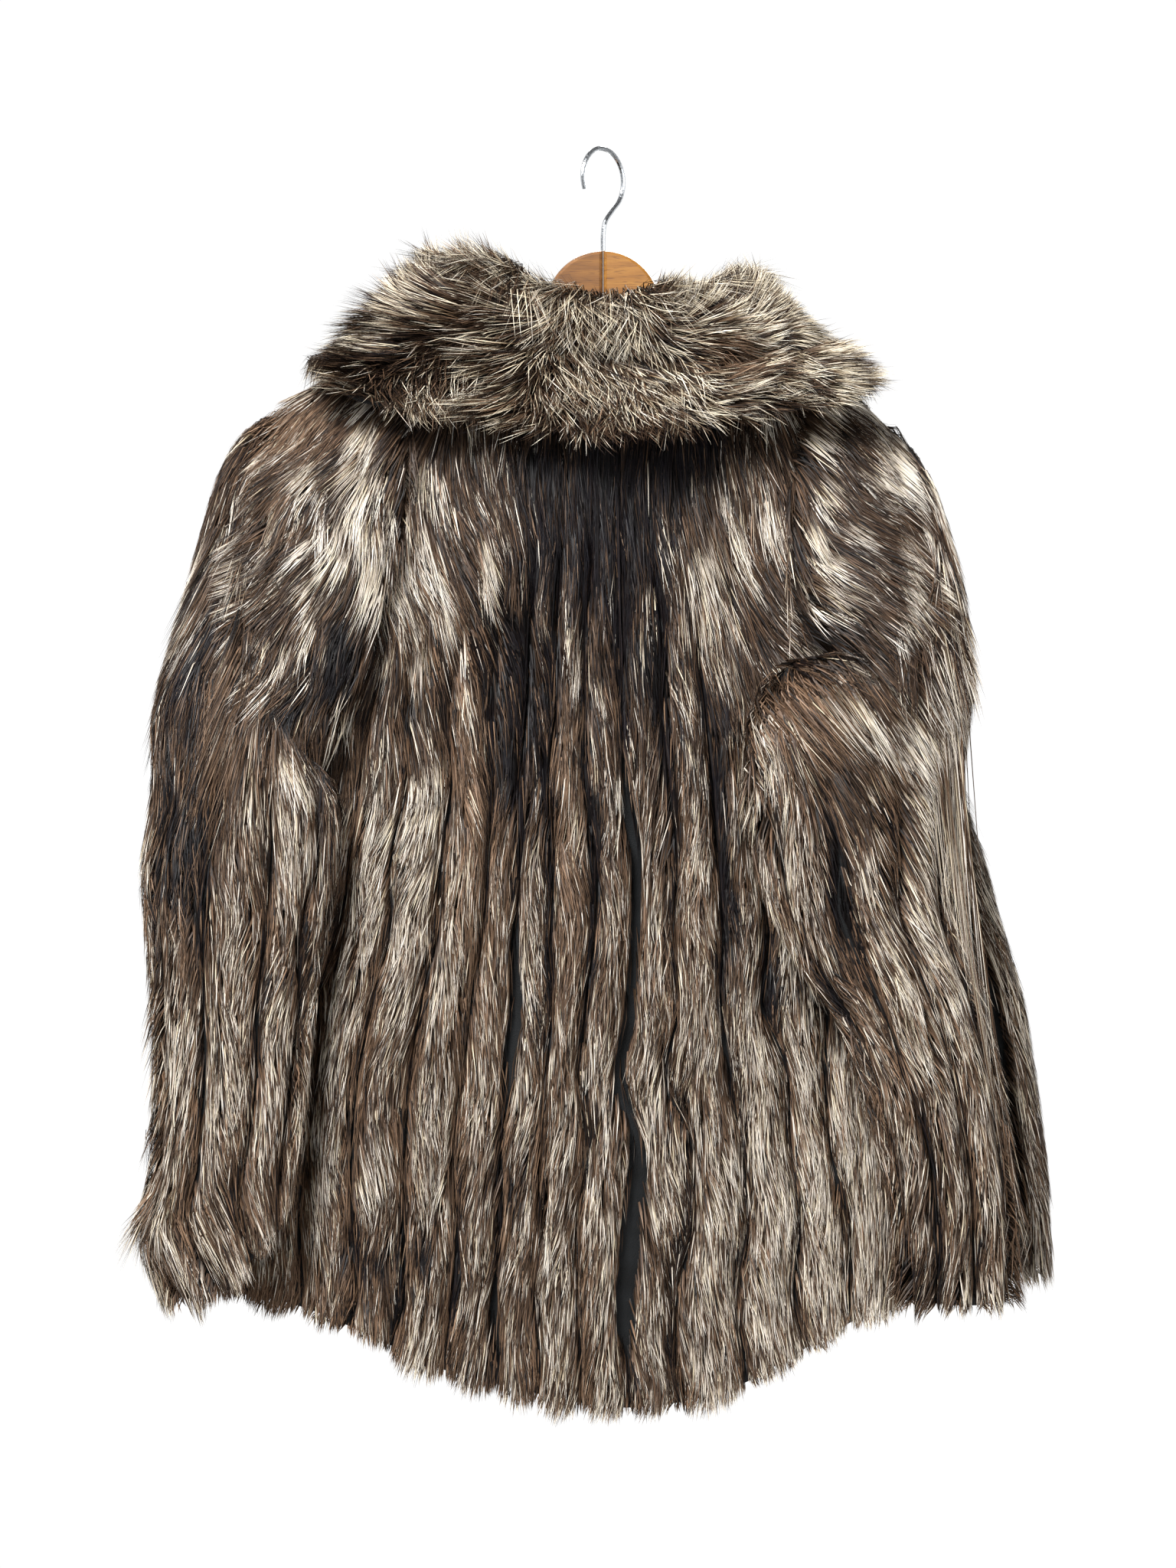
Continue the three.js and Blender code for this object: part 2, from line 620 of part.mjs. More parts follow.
// One section of a sleeve: a flat ellipse from its outer edge round its back to its inner edge
function sleeveRing(section, loop, count, sag) {
  const out = new THREE.Vector3(section.outX, section.outY, section.outZ);
  const inn = new THREE.Vector3(section.inX, section.inY, section.inZ);
  const centre = out.clone().add(inn).multiplyScalar(0.5);
  const wide = out.clone().sub(inn).multiplyScalar(0.5);
  const deep = new THREE.Vector3(0, -1, 0);
  deep.addScaledVector(wide, -deep.dot(wide) / wide.lengthSq()).normalize().multiplyScalar(section.depth);
  const along = wide.clone().cross(deep).normalize();
  along.multiplyScalar(along.z < 0 ? sag : -sag);
  const crest = [];
  const normals = [];
  for (let index = 0; index < count; index += 1) {
    const angle = (2 * Math.PI * index) / count;
    const point = centre.clone().addScaledVector(wide, Math.cos(angle));
    point.addScaledVector(deep, Math.sin(angle));
    point.addScaledVector(along, Math.max(Math.sin(angle), 0));
    const normal = wide.clone().multiplyScalar(Math.cos(angle) / wide.lengthSq());
    normal.addScaledVector(deep, Math.sin(angle) / deep.lengthSq()).normalize();
    point.lerp(alongLoop(loop, index / count), section.follow);
    crest.push(clearOfBody(point));
    normals.push(normal);
  }
  return { crest, normals };
}

// The armhole rim that the sleeve shares with the back and the front, moved out by the seam gap
function armholeRim(side, backGrids, frontGrids) {
  const pick = (grid, row) => (side < 0 ? grid[row][0] : grid[row][grid[row].length - 1]);
  const loop = (back, front) => {
    const points = [];
    for (let row = 0; row <= armholeRows; row += 1) {
      points.push(pick(back, row).clone());
    }
    for (let row = armholeRows - 1; row > 0; row -= 1) {
      points.push(pick(front, row).clone());
    }
    points[0].y = 0;
    points[armholeRows].y = 0;
    return points;
  };
  const outer = loop(backGrids.outer, frontGrids.outer);
  const inner = loop(backGrids.inner, frontGrids.inner);
  const away = outer.map((point, index) => {
    const count = outer.length;
    const tangent = outer[(index + 1) % count].clone().sub(outer[(index + count - 1) % count]);
    const normal = tangent.cross(point.clone().sub(inner[index])).normalize();
    return normal.multiplyScalar(Math.sign(normal.x) * side);
  });
  const moved = (points, distance) => points.map((point, index) => {
    return point.clone().addScaledVector(away[index], distance);
  });
  return [sleeveSeam, sleeveHeadStep].map((distance) => ({
    outer: moved(outer, distance),
    inner: moved(inner, distance),
  }));
}

function sleeveGeometry(side, sections, rims, sag) {
  const count = sleeveStrips * columnsPerStrip;
  const outer = rims.map((rim) => rim.outer);
  const inner = rims.map((rim) => rim.inner);
  sections.forEach((section, row) => {
    const last = row === sections.length - 1;
    const ring = sleeveRing(section, rims[1].outer, count, last ? sag : 0);
    const fade = Math.min((row + 1) / 3, 1);
    outer.push(ring.crest.map((point, index) => {
      const height = stripHeight(index / columnsPerStrip, row, 1.7 * side);
      return point.clone().addScaledVector(ring.normals[index], (height - crestHeight) * fade);
    }));
    const inside = ring.crest.map((point, index) => {
      return point.clone().addScaledVector(ring.normals[index], -crestHeight);
    });
    inner.push(inside.filter((point, index) => index % 2 === 0));
  });
  const end = inner.length - 1;
  inner[end] = inner[end].map((point, index) => point.lerp(inner[end - 1][index], cuffTuck));
  return wallGeometry(outer, inner, true);
}

// The collar's seam follows the outer edge of the neckline rim, a little above it
function necklineSeams(grids) {
  return [grids.frontLeft, grids.back, grids.frontRight].map((grid) => {
    const edge = grid.outer[0].filter((point, column) => Math.abs(grid.leather[0][column].x) <= neckHalf);
    return new THREE.CatmullRomCurve3(grid === grids.back ? edge : edge.reverse(), false, 'centripetal');
  });
}

// The seam's point at a place round the neck: the back takes the middle turns
function seamPoint(seams, turn) {
  const [left, back, right] = seams;
  if (turn < neckTurn) {
    return left.getPointAt(turn / neckTurn);
  }
  if (turn > 1 - neckTurn) {
    return right.getPointAt((turn - 1 + neckTurn) / neckTurn);
  }
  return back.getPointAt((turn - neckTurn) / (1 - 2 * neckTurn));
}

function collarGeometry(seams) {
  const leather = [];
  const outer = [];
  for (let station = 0; station <= collarStations; station += 1) {
    const turn = station / collarStations;
    const read = (column) => tableValue(collarGuide, 'turn', column, turn);
    const start = seamPoint(seams, turn).multiply(collarSeat.draw).add(collarSeat.lift);
    const roll = new THREE.Vector3(read('rollX'), read('rollY'), read('rollZ'));
    const edge = new THREE.Vector3(read('edgeX'), read('edgeY'), read('edgeZ'));
    const section = new THREE.CatmullRomCurve3([start, roll, roll.clone().lerp(edge, 0.5), edge]);
    const sheet = new THREE.Vector3().crossVectors(edge.clone().sub(roll), start.clone().sub(roll));
    const across = sheet.normalize();
    const inside = [];
    const outside = [];
    for (let step = 0; step <= collarSteps; step += 1) {
      const share = step / collarSteps;
      const point = share > rollShare ? clearOfShoulder(section.getPoint(share)) : section.getPoint(share);
      const normal = section.getTangent(share).cross(across).normalize();
      const rise = THREE.MathUtils.smoothstep(share, 0.05, 0.4);
      const lumps = 1.8 * Math.sin(0.9 * station + 1.4 * step) * rise;
      inside.push(point);
      const fur = THREE.MathUtils.lerp(standFur, read('fur'), rise) + lumps;
      outside.push(point.clone().addScaledVector(normal, fur));
    }
    leather.push(inside);
    outer.push(outside);
  }
  return wallGeometry(outer, leather, false);
}

// Half of the hanger: half of the round boss and one arm, with soft edges
function hangerGeometry() {
  const slope = (hangerTip.z - neckTop) / (hangerTip.x - neckHalf);
  const armTop = (x) => neckTop + slope * (x - neckHalf) - hangerClearance;
  const middle = bossTop - bossRadius;
  const mitre = Math.acos(seamGap / 2 / bossRadius);
  const outline = new THREE.Shape();
  outline.moveTo(seamGap / 2, hangerBottom);
  outline.absarc(0, middle, bossRadius, mitre, bossShoulder, true);
  outline.quadraticCurveTo(armHollow.x, armTop(armHollow.x) - armHollow.drop, armSeat, armTop(armSeat));
  outline.lineTo(hangerTip.x - hangerTipRadius, armTop(hangerTip.x - hangerTipRadius));
  for (const curve of tipCurves) {
    const [x, z] = [hangerTip.x, armTop(hangerTip.x)];
    outline.quadraticCurveTo(x + curve.pullX, z + curve.pullZ, x + curve.endX, z + curve.endZ);
  }
  outline.quadraticCurveTo(armBelly.x, armBelly.z, seamGap / 2, hangerBottom);
  return new THREE.ExtrudeGeometry(outline, {
    depth: woodThickness - 2 * woodBevel,
    curveSegments: hangerSegments,
    bevelEnabled: true,
    bevelThickness: woodBevel,
    bevelSize: woodBevelWidth,
    bevelOffset: -woodBevelWidth,
    bevelSegments: 2,
  });
}

// The wire rises from the boss, leans out and turns over the top in a round hook
function hookGeometry() {
  const across = new THREE.Vector3(Math.cos(hookTurn), Math.sin(hookTurn), 0);
  const at = (out, z) => across.clone().multiplyScalar(out).setZ(z);
  const middle = wireRadius - hookRadius;
  const points = [at(0, bossTop + seamGap), ...hookStem.map((place) => at(place.out, place.z))];
  for (let degrees = hookBend.from; degrees <= hookBend.to; degrees += hookBend.step) {
    const angle = THREE.MathUtils.degToRad(degrees);
    points.push(at(hookRadius * Math.cos(angle), middle + hookRadius * Math.sin(angle)));
  }
  const wire = new THREE.Shape();
  for (let side = 0; side < wireSides; side += 1) {
    const angle = (2 * Math.PI * side) / wireSides;
    const [x, y] = [wireRadius * Math.cos(angle), wireRadius * Math.sin(angle)];
    if (side === 0) {
      wire.moveTo(x, y);
    } else {
      wire.lineTo(x, y);
    }
  }
  const path = new THREE.CatmullRomCurve3(points);
  return new THREE.ExtrudeGeometry(wire, { steps: hookSteps, extrudePath: path, bevelEnabled: false });
}

function namedMesh(name, geometry, material) {
  const mesh = new THREE.Mesh(geometry, material);
  mesh.name = name;
  return mesh;
}

const leftAngles = evenAngles(frontStrips * columnsPerStrip, 0, Math.PI / 2, hemHalf, hemDepth);
const rightAngles = leftAngles.map((angle) => Math.PI - angle).reverse();
const grids = {
  back: panelGrids({ isBack: true, angles: backColumns(), leftSide: true, rightSide: true, shift: 0.8 }),
  frontLeft: panelGrids({ isBack: false, side: -1, angles: leftAngles, leftSide: true, shift: 2.2 }),
  frontRight: panelGrids({ isBack: false, side: 1, angles: rightAngles, rightSide: true, shift: 3.1 }),
};

const group = new THREE.Group();
const { back, frontLeft, frontRight } = grids;
group.add(namedMesh('back', wallGeometry(back.outer, back.inner, false), furGrey));
group.add(namedMesh('front_left', wallGeometry(frontLeft.outer, frontLeft.inner, false, true), furGrey));
group.add(namedMesh('front_right', wallGeometry(frontRight.outer, frontRight.inner, false, true), furGrey));
const leftRim = armholeRim(-1, back, frontLeft);
const rightRim = armholeRim(1, back, frontRight);
group.add(namedMesh('sleeve_left', sleeveGeometry(-1, leftSleeve, leftRim, cuffSag.left), furBrown));
group.add(namedMesh('sleeve_right', sleeveGeometry(1, rightSleeve, rightRim, cuffSag.right), furBrown));
group.add(namedMesh('collar', collarGeometry(necklineSeams(grids)), furCream));

const hanger = new THREE.Group();
const rightHalf = namedMesh('hanger_right', hangerGeometry(), beechLight);
const leftHalf = namedMesh('hanger_left', hangerGeometry(), beechDark);
rightHalf.rotation.x = Math.PI / 2;
rightHalf.position.y = woodThickness / 2 - woodBevel;
leftHalf.rotation.set(Math.PI / 2, 0, Math.PI, 'ZXY');
leftHalf.position.y = woodBevel - woodThickness / 2;
hanger.add(rightHalf);
hanger.add(leftHalf);
hanger.add(namedMesh('hook', hookGeometry(), steel));
group.add(hanger);

export default group;
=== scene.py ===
import math
import bpy
import numpy as np
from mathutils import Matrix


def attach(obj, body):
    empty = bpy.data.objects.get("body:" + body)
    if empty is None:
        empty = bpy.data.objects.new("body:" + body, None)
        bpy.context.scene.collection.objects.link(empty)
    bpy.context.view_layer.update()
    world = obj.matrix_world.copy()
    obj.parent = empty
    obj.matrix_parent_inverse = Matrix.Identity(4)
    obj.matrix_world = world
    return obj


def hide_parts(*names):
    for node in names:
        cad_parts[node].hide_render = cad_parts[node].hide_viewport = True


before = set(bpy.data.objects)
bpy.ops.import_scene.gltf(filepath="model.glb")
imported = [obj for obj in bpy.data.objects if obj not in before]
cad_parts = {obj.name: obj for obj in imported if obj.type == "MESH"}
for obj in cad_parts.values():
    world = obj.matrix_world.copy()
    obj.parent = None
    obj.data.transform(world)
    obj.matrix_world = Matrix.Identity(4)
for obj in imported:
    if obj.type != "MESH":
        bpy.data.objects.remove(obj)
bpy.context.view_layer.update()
print("frame loaded")

# The coat is seen from its back. Tables are in millimetres, as in the coat's own cut, with
# z counted from the hook's inner top, and each column is named.

# Picture: the photograph's own view, from behind the coat
view = {
    "photoSize": (1536, 2048),
    "hookPixel": (788, 184),  # the hook's inner top in the photograph
    "mmPerPixel": 0.605,      # at the coat's back
    "distance": 3.2,          # metres from the hanger to the lens
    "nearer": 0.05,           # the back lies this far in front of the hanger
    "sensor": 24,
    "floorHeight": -1.46,
}


def addObject(name, data):
    made = bpy.data.objects.new(name, data)
    bpy.context.scene.collection.objects.link(made)
    return made


def makeCamera():
    width, height = view["photoSize"]
    scale = view["mmPerPixel"] / 1000
    data = bpy.data.cameras.new("photoCamera")
    data.sensor_fit = "VERTICAL"
    data.sensor_height = view["sensor"]
    # lens = sensor height x distance / height of the picture at the coat
    data.lens = view["sensor"] * (view["distance"] - view["nearer"]) / (height * scale)
    data.clip_end = 200
    camera = addObject("photoCamera", data)
    across = (width / 2 - view["hookPixel"][0]) * scale
    up = (view["hookPixel"][1] - height / 2) * scale
    camera.location = (across, -view["distance"], up)
    camera.rotation_euler = (math.pi / 2, 0, 0)
    bpy.context.scene.camera = camera


def areaLight(name, place, target, size, power):
    data = bpy.data.lights.new(name, "AREA")
    data.size, data.energy = size, power
    light = addObject(name, data)
    light.location = place
    towards = np.array(target) - np.array(place)
    flat = math.hypot(towards[0], towards[1])
    light.rotation_euler = (math.pi / 2 + math.atan2(towards[2], flat), 0,
                            math.atan2(towards[1], towards[0]) - math.pi / 2)


makeCamera()
areaLight("keyLight", (-0.9, -2.0, 1.6), (0, 0, -0.5), 0.8, 185)
areaLight("fillLight", (2.0, -2.4, 0.2), (0, 0, -0.55), 2.0, 22)
areaLight("frontLight", (0.6, 3.0, 0.8), (0, 0, -0.5), 2.0, 110)


def linearColour(hexValue, alpha=1.0):
    # sRGB hex to linear light
    parts = np.array([int(hexValue[i:i + 2], 16) / 255 for i in (1, 3, 5)])
    linear = np.where(parts <= 0.04045, parts / 12.92, ((parts + 0.055) / 1.055) ** 2.4)
    return (*linear.tolist(), alpha)


def newMaterial(name):
    material = bpy.data.materials.new(name)
    material.use_nodes = True
    material.node_tree.nodes.clear()
    return material


def addNode(owner, kind, inputs=None, **settings):
    # one node: its inputs are plain values or (node, output) links
    tree = owner.node_tree
    node = tree.nodes.new("ShaderNode" + kind)
    for name, value in settings.items():
        setattr(node, name, value)
    for name, value in (inputs or {}).items():
        if isinstance(value, tuple) and isinstance(value[0], bpy.types.Node):
            tree.links.new(value[0].outputs[value[1]], node.inputs[name])
        else:
            node.inputs[name].default_value = value
    return node


def addRange(owner, source, fromLow, fromHigh, toLow, toHigh, clamp=True):
    inputs = {0: source, 1: fromLow, 2: fromHigh, 3: toLow, 4: toHigh}
    return addNode(owner, "MapRange", inputs, clamp=clamp), 0


def addNoise(material, source, scale, detail=2.0):
    return addNode(material, "TexNoise", {"Vector": source, "Scale": scale, "Detail": detail}), 0


def addRamp(material, source, *stops):
    # a colour ramp read by one number, with (place, hex) stops
    node = addNode(material, "ValToRGB", {"Fac": source})
    points = node.color_ramp.elements
    while len(points) < len(stops):
        points.new(0.5)
    for point, (place, hexValue) in zip(points, stops):
        point.position = place
        point.color = linearColour(hexValue)
    return node, 0


def finishMaterial(material, inputs):
    shader = addNode(material, "BsdfPrincipled", inputs)
    addNode(material, "OutputMaterial", {"Surface": (shader, "BSDF")})
    return material


# Fur: silver fox hair, worked out from a palette laid on the hairs' own UV map.
# Across the map lies the kind of hair, along it the way from root to tip.
furPalette = {
    "kinds": {"blueBlack": 0.0, "darkBrown": 0.2, "taupe": 0.4, "tan": 0.6, "silver": 0.8, "cream": 1.0},
    # black hair: its paler bluish tip is partly its own colour and partly a painted sheen
    "blueBlack": ((0.0, "#030303"), (0.4, "#080708"), (0.75, "#131218"), (1.0, "#25242c")),
    "darkBrown": ((0.0, "#040302"), (0.4, "#0f0a07"), (0.75, "#20150f"), (1.0, "#30221a")),
    "taupe": ((0.0, "#160f0a"), (0.35, "#433226"), (0.7, "#67513f"), (1.0, "#4c3a2c")),
    "tan": ((0.0, "#33251a"), (0.35, "#6d5441"), (0.7, "#94775f"), (1.0, "#ab9076")),
    "silver": ((0.0, "#0e0907"), (0.46, "#33261d"), (0.6, "#c3b8aa"), (0.9, "#f6f1e9"), (1.0, "#3a2c23")),
    "cream": ((0.0, "#1f150e"), (0.38, "#66503a"), (0.62, "#d6c7a8"), (1.0, "#f7eed8")),
    "streaks": 260, "streakTone": 0.16,   # fine hairs across the palette and how far their tones part
    "stagger": 170, "staggerBand": 0.16,  # and how far their pale bands part along the hair
    "roughness": 0.48, "gloss": 0.16,
}


def addStreaks(material, across, value, count, amount):
    # value + (noise across the palette - 1/2) x amount
    noise = addNode(material, "TexNoise", {"W": across, "Scale": float(count), "Detail": 1.0},
                    noise_dimensions="1D")
    part = addRange(material, (noise, 0), 0.25, 0.75, -amount / 2, amount / 2, False)
    return addNode(material, "Math", {0: value, 1: part}, operation="ADD"), 0


def makeFurMaterial():
    # long glossy guard hair over dull underfur: half matt, so that light only softly streaks it
    fur = newMaterial("silverFoxFur")
    place = addNode(fur, "UVMap", uv_map="OFBake")
    parts = addNode(fur, "SeparateXYZ", {0: (place, 0)})
    kind = addStreaks(fur, (parts, "X"), (parts, "X"), furPalette["streaks"], furPalette["streakTone"])
    along = addStreaks(fur, (parts, "X"), (parts, "Y"), furPalette["stagger"], furPalette["staggerBand"])
    colour, low = None, 0
    for name, high in furPalette["kinds"].items():
        ramp = addRamp(fur, along, *furPalette[name])
        if colour is None:
            colour = ramp
            continue
        share = addRange(fur, kind, low, high, 0.0, 1.0)
        colour = (addNode(fur, "Mix", {0: share, 6: colour, 7: ramp}, data_type="RGBA"), 2)
        low = high
    return finishMaterial(fur, {"Base Color": colour, "Roughness": furPalette["roughness"],
                                "Specular IOR Level": furPalette["gloss"]})


leatherLook = {
    "colour": "#0b0c0d", "worn": "#16181a", "roughness": 0.7, "gloss": 0.25,
    "grain": 1.1 / 1000,  # metres between the pores, drawn as coarse as it needs to show
}


def makeLeatherMaterial():
    # dyed sueded pelt: near black, matt, with a fine pored grain
    leather = newMaterial("blackSuedePelt")
    place = (addNode(leather, "TexCoord"), "Object")
    pores = addNode(leather, "TexVoronoi", {"Vector": place, "Scale": 1 / leatherLook["grain"]})
    cloud = addNoise(leather, place, 40.0)
    colour = addRamp(leather, cloud, (0.35, leatherLook["colour"]), (0.75, leatherLook["worn"]))
    bump = addNode(leather, "Bump", {"Strength": 0.5, "Distance": 0.0004, "Height": (pores, "Distance")})
    return finishMaterial(leather, {"Base Color": colour, "Roughness": leatherLook["roughness"],
                                    "Specular IOR Level": leatherLook["gloss"], "Normal": (bump, 0)})


woodLook = {
    "ring": 4.5 / 1000,    # metres between the year rings across the arm
    "fleck": 0.9 / 1000,   # metres across beech's small dark flecks
    "roughness": 0.5, "coat": 0.22, "coatRoughness": 0.2,
}


def makeBeechMaterial(name, pale, warm, dark):
    # sawn beech under clear lacquer: fine long grain and short dark flecks beneath a gloss
    beech = newMaterial(name)
    place = (addNode(beech, "TexCoord"), "Object")
    drawn = (addNode(beech, "Mapping", {"Vector": place, "Rotation": (0, 0.42, 0), "Scale": (0.09, 1, 1)}), 0)
    rings = addNoise(beech, drawn, 1 / woodLook["ring"], 4.0)
    flecks = addNoise(beech, drawn, 1 / woodLook["fleck"], 1.0)
    grain = addRamp(beech, rings, (0.3, dark), (0.5, warm), (0.7, pale))
    spots = addRamp(beech, flecks, (0.28, "#7a4d24"), (0.42, "#ffffff"))
    colour = addNode(beech, "Mix", {0: 0.55, 6: grain, 7: spots}, data_type="RGBA", blend_type="MULTIPLY")
    bump = addNode(beech, "Bump", {"Strength": 0.15, "Distance": 0.0003, "Height": flecks})
    return finishMaterial(beech, {"Base Color": (colour, 2), "Roughness": woodLook["roughness"],
                                  "Coat Weight": woodLook["coat"],
                                  "Coat Roughness": woodLook["coatRoughness"], "Normal": (bump, 0)})


def makeSteelMaterial():
    # nickel-plated drawn wire: mirror-like, with faint lines left along it by the die
    steel = newMaterial("nickelPlatedWire")
    dust = addNoise(steel, (addNode(steel, "TexCoord"), "Object"), 900.0)
    return finishMaterial(steel, {"Base Color": addRamp(steel, dust, (0.3, "#a9adb2"), (0.7, "#d5d8db")),
                                  "Metallic": 1.0, "Roughness": addRange(steel, dust, 0.3, 0.7, 0.14, 0.3)})


stage = {
    "floorRadius": 1.55, "floor": "#d9d8d5", "floorSpots": "#dededc",
    "level": 1.02, "above": 0.2,       # the studio's pale walls at eye level, and its dimmer ceiling
    "wallTop": 0.24, "ceiling": 0.55,  # sines of the heights between which one turns into the other
    "opposite": 0.44,                  # share of that light on the wall that the coat's back faces
}


def makeStage():
    # a pale round floor below the coat, in a pale studio that is dimmer above and below
    floor = newMaterial("paleFloor")
    cloud = addNoise(floor, (addNode(floor, "TexCoord"), "Object"), 3.0)
    colour = addRamp(floor, cloud, (0.3, stage["floor"]), (0.7, stage["floorSpots"]))
    finishMaterial(floor, {"Base Color": colour, "Roughness": 0.9, "Specular IOR Level": 0.1})
    turn = np.linspace(0, 2 * math.pi, 129)[:-1]
    points = np.stack([stage["floorRadius"] * np.cos(turn), stage["floorRadius"] * np.sin(turn),
                       0 * turn + view["floorHeight"]], axis=1)
    mesh = bpy.data.meshes.new("floor")
    mesh.from_pydata(points.tolist(), [], [list(range(len(turn)))])
    mesh.materials.append(floor)
    addObject("floor", mesh)
    # the world's strength = its fade with height x its share on the wall behind
    world = bpy.data.worlds.new("paleStudio")
    world.use_nodes = True
    parts = addNode(world, "SeparateXYZ", {0: (addNode(world, "TexCoord"), "Generated")})
    height = addNode(world, "Math", {0: (parts, "Z")}, operation="ABSOLUTE")
    fade = addRange(world, (height, 0), *[stage[name] for name in ("wallTop", "ceiling", "level", "above")])
    around = addRange(world, (parts, "Y"), -0.8, 0.1, stage["opposite"], 1.0)
    whole = addNode(world, "Math", {0: fade, 1: around}, operation="MULTIPLY")
    background = world.node_tree.nodes["Background"]
    world.node_tree.links.new(whole.outputs[0], background.inputs["Strength"])
    background.inputs["Color"].default_value = (1, 1, 1, 1)
    bpy.context.scene.world = world
    bpy.context.scene.view_settings.view_transform = "Standard"


makeStage()
furMaterial = makeFurMaterial()
leatherMaterial = makeLeatherMaterial()
print("stage and materials made")

# The coat's cut
coat = {
    "seamGap": 0.3, "crest": 17.0, "groove": 5.5, "edge": 13.0, "armhole": 11.0,
    "shoulder": 13.0, "shoulderLean": (0.48, 0.88), "restGap": 1.6, "power": 2.5,
    "neckHalf": 85.0, "neckTop": -136.0, "neckBackDip": 5.0, "frontBreak": -330.0,
    "frontCurve": 0.9, "tipX": 195.0, "tipZ": -196.0, "shoulderRound": 52.0,
    "armholeDepth": 30.0, "armholeRows": 7, "skirtRows": 9, "topCrowding": 1.6,
    "gapAtBreak": 1.5, "gapAtHem": 7.0, "hemLevel": -1000.0, "hemHalf": 340.0, "hemDepth": 44.0,
    "armpit": -440.0, "foldTop": -300.0, "foldFull": -640.0, "sidePull": (2, 5),
    "frontStrips": 8,
    "perStrip": 8,     # columns worked out for each strip of fur
    "perRow": 4,       # rows worked out for each row of the cut
}
leftEdge = {
    "z": (-206, -310, -385, -440, -500, -600, -700, -800, -960),
    "x": (-224, -190, -212, -242, -260, -285, -303, -316, -328),
}
rightEdge = {
    "z": (-216, -312, -390, -445, -500, -570, -688, -800, -960),
    "x": (214, 166, 202, 248, 270, 297, 329, 346, 353),
}
trend = {
    "z": (-130, -250, -440, -700, -1000),
    "left": (-204, -208, -232, -282, -328),
    "right": (200, 206, 238, 300, 353),
    "depth": (40, 41, 37, 39, 45),
}
backHem = {
    "x": (-345, -253, -192, -130, -50, 25, 99, 168, 217, 290, 370),
    "z": (-908, -921, -943, -972, -991, -1002, -987, -953, -928, -906, -890),
}
frontHem = {"x": (-345, 0, 370), "z": (-908, -926, -890)}
backSeams = (-296, -252, -208, -165, -122, -82, -50, -16, 24, 68, 112, 155, 200, 246, 290, 330)
backFolds = {"x": (-205, -100, -35, 42, 98, 182), "width": (30, 34, 26, 24, 30, 28),
             "rise": (6, -8, 4, -4, 7, -5)}
frontFolds = {"x": (-190, -95, 100, 200), "width": (36, 34, 36, 34), "rise": (6, -5, 6, -5)}


def smoothValue(table, key, column, at):
    # a curve through the table's rows whose slope at a row is that from row before to row after
    keys, values = np.array(table[key], float), np.array(table[column], float)
    if keys[0] > keys[-1]:
        keys, values = keys[::-1], values[::-1]
    order = np.arange(len(keys))
    before, after = np.maximum(order - 1, 0), np.minimum(order + 1, len(keys) - 1)
    slopes = (values[after] - values[before]) / (keys[after] - keys[before])
    at = np.asarray(at, float)
    low = np.clip(np.searchsorted(keys, at, side="right") - 1, 0, len(keys) - 2)
    span, rise = keys[low + 1] - keys[low], values[low + 1] - values[low]
    part = np.clip((at - keys[low]) / span, 0, 1)
    early, late = slopes[low] * span - rise, rise - slopes[low + 1] * span
    return values[low] + rise * part + part * (1 - part) * (early * (1 - part) + late * part)


def smoothPlaces(table, key, start, at):
    # three such curves at once, for a place's x, y and z
    return np.stack([smoothValue(table, key, start + axis, at) for axis in "XYZ"], axis=1)


def sectionTable(table):
    # a table of cross sections, numbered, and the rows worked out along it
    sections = len(table["inX"])
    row = np.linspace(0, sections - 1, (sections - 1) * coat["perRow"] + 1)
    return {**table, "row": np.arange(sections)}, row


def alongLine(points, shares):
    # places on a line by their share of its length
    length = np.concatenate([[0], np.cumsum(np.linalg.norm(np.diff(points, axis=0), axis=1))])
    return np.stack([np.interp(shares * length[-1], length, points[:, k]) for k in range(3)], axis=1)


def blend(first, second, part):
    return first + (second - first) * part


def smoothStep(at, low, high):
    part = np.clip((at - low) / (high - low), 0, 1)
    return part * part * (3 - 2 * part)


def unit(vectors):
    return vectors / np.maximum(np.linalg.norm(vectors, axis=-1, keepdims=True), 1e-9)


def roundCos(angle):
    return np.sign(np.cos(angle)) * np.abs(np.cos(angle)) ** (2 / coat["power"])


def roundSin(angle):
    return np.abs(np.sin(angle)) ** (2 / coat["power"])


def evenAngles(steps, first, last):
    # angles that split the hem's flat round section into equal lengths
    angle = np.linspace(first, last, 601)
    x, y = coat["hemHalf"] * roundCos(angle), coat["hemDepth"] * roundSin(angle)
    length = np.concatenate([[0], np.cumsum(np.hypot(np.diff(x), np.diff(y)))])
    return np.interp(np.linspace(0, length[-1], steps + 1), length, angle)


def backColumns():
    # columns from one side seam to the other, a few for each strip between the back's seams
    seams = np.array(backSeams, float)
    leftwards = np.where(seams < 0, seams / trend["left"][-1], -seams / trend["right"][-1])
    turned = np.arccos(np.sign(leftwards) * np.abs(leftwards) ** (coat["power"] / 2))
    bounds = np.concatenate([[0], turned, [math.pi]])
    strips = [evenAngles(coat["perStrip"], a, b)[1:] for a, b in zip(bounds[:-1], bounds[1:])]
    return np.concatenate([[0], *strips])


def edgeX(across, z):
    return np.where(across < 0, smoothValue(leftEdge, "z", "x", z), smoothValue(rightEdge, "z", "x", z))


def armholeEdge(across, z):
    # how far the armhole's edge stands off the middle plane: a half wave down the armhole
    top = np.where(across < 0, leftEdge["z"][0], rightEdge["z"][0])
    low = np.where(across < 0, leftEdge["z"][3], rightEdge["z"][3])
    return coat["armholeDepth"] * np.sin(math.pi * np.clip((top - z) / (top - low), 0, 1))


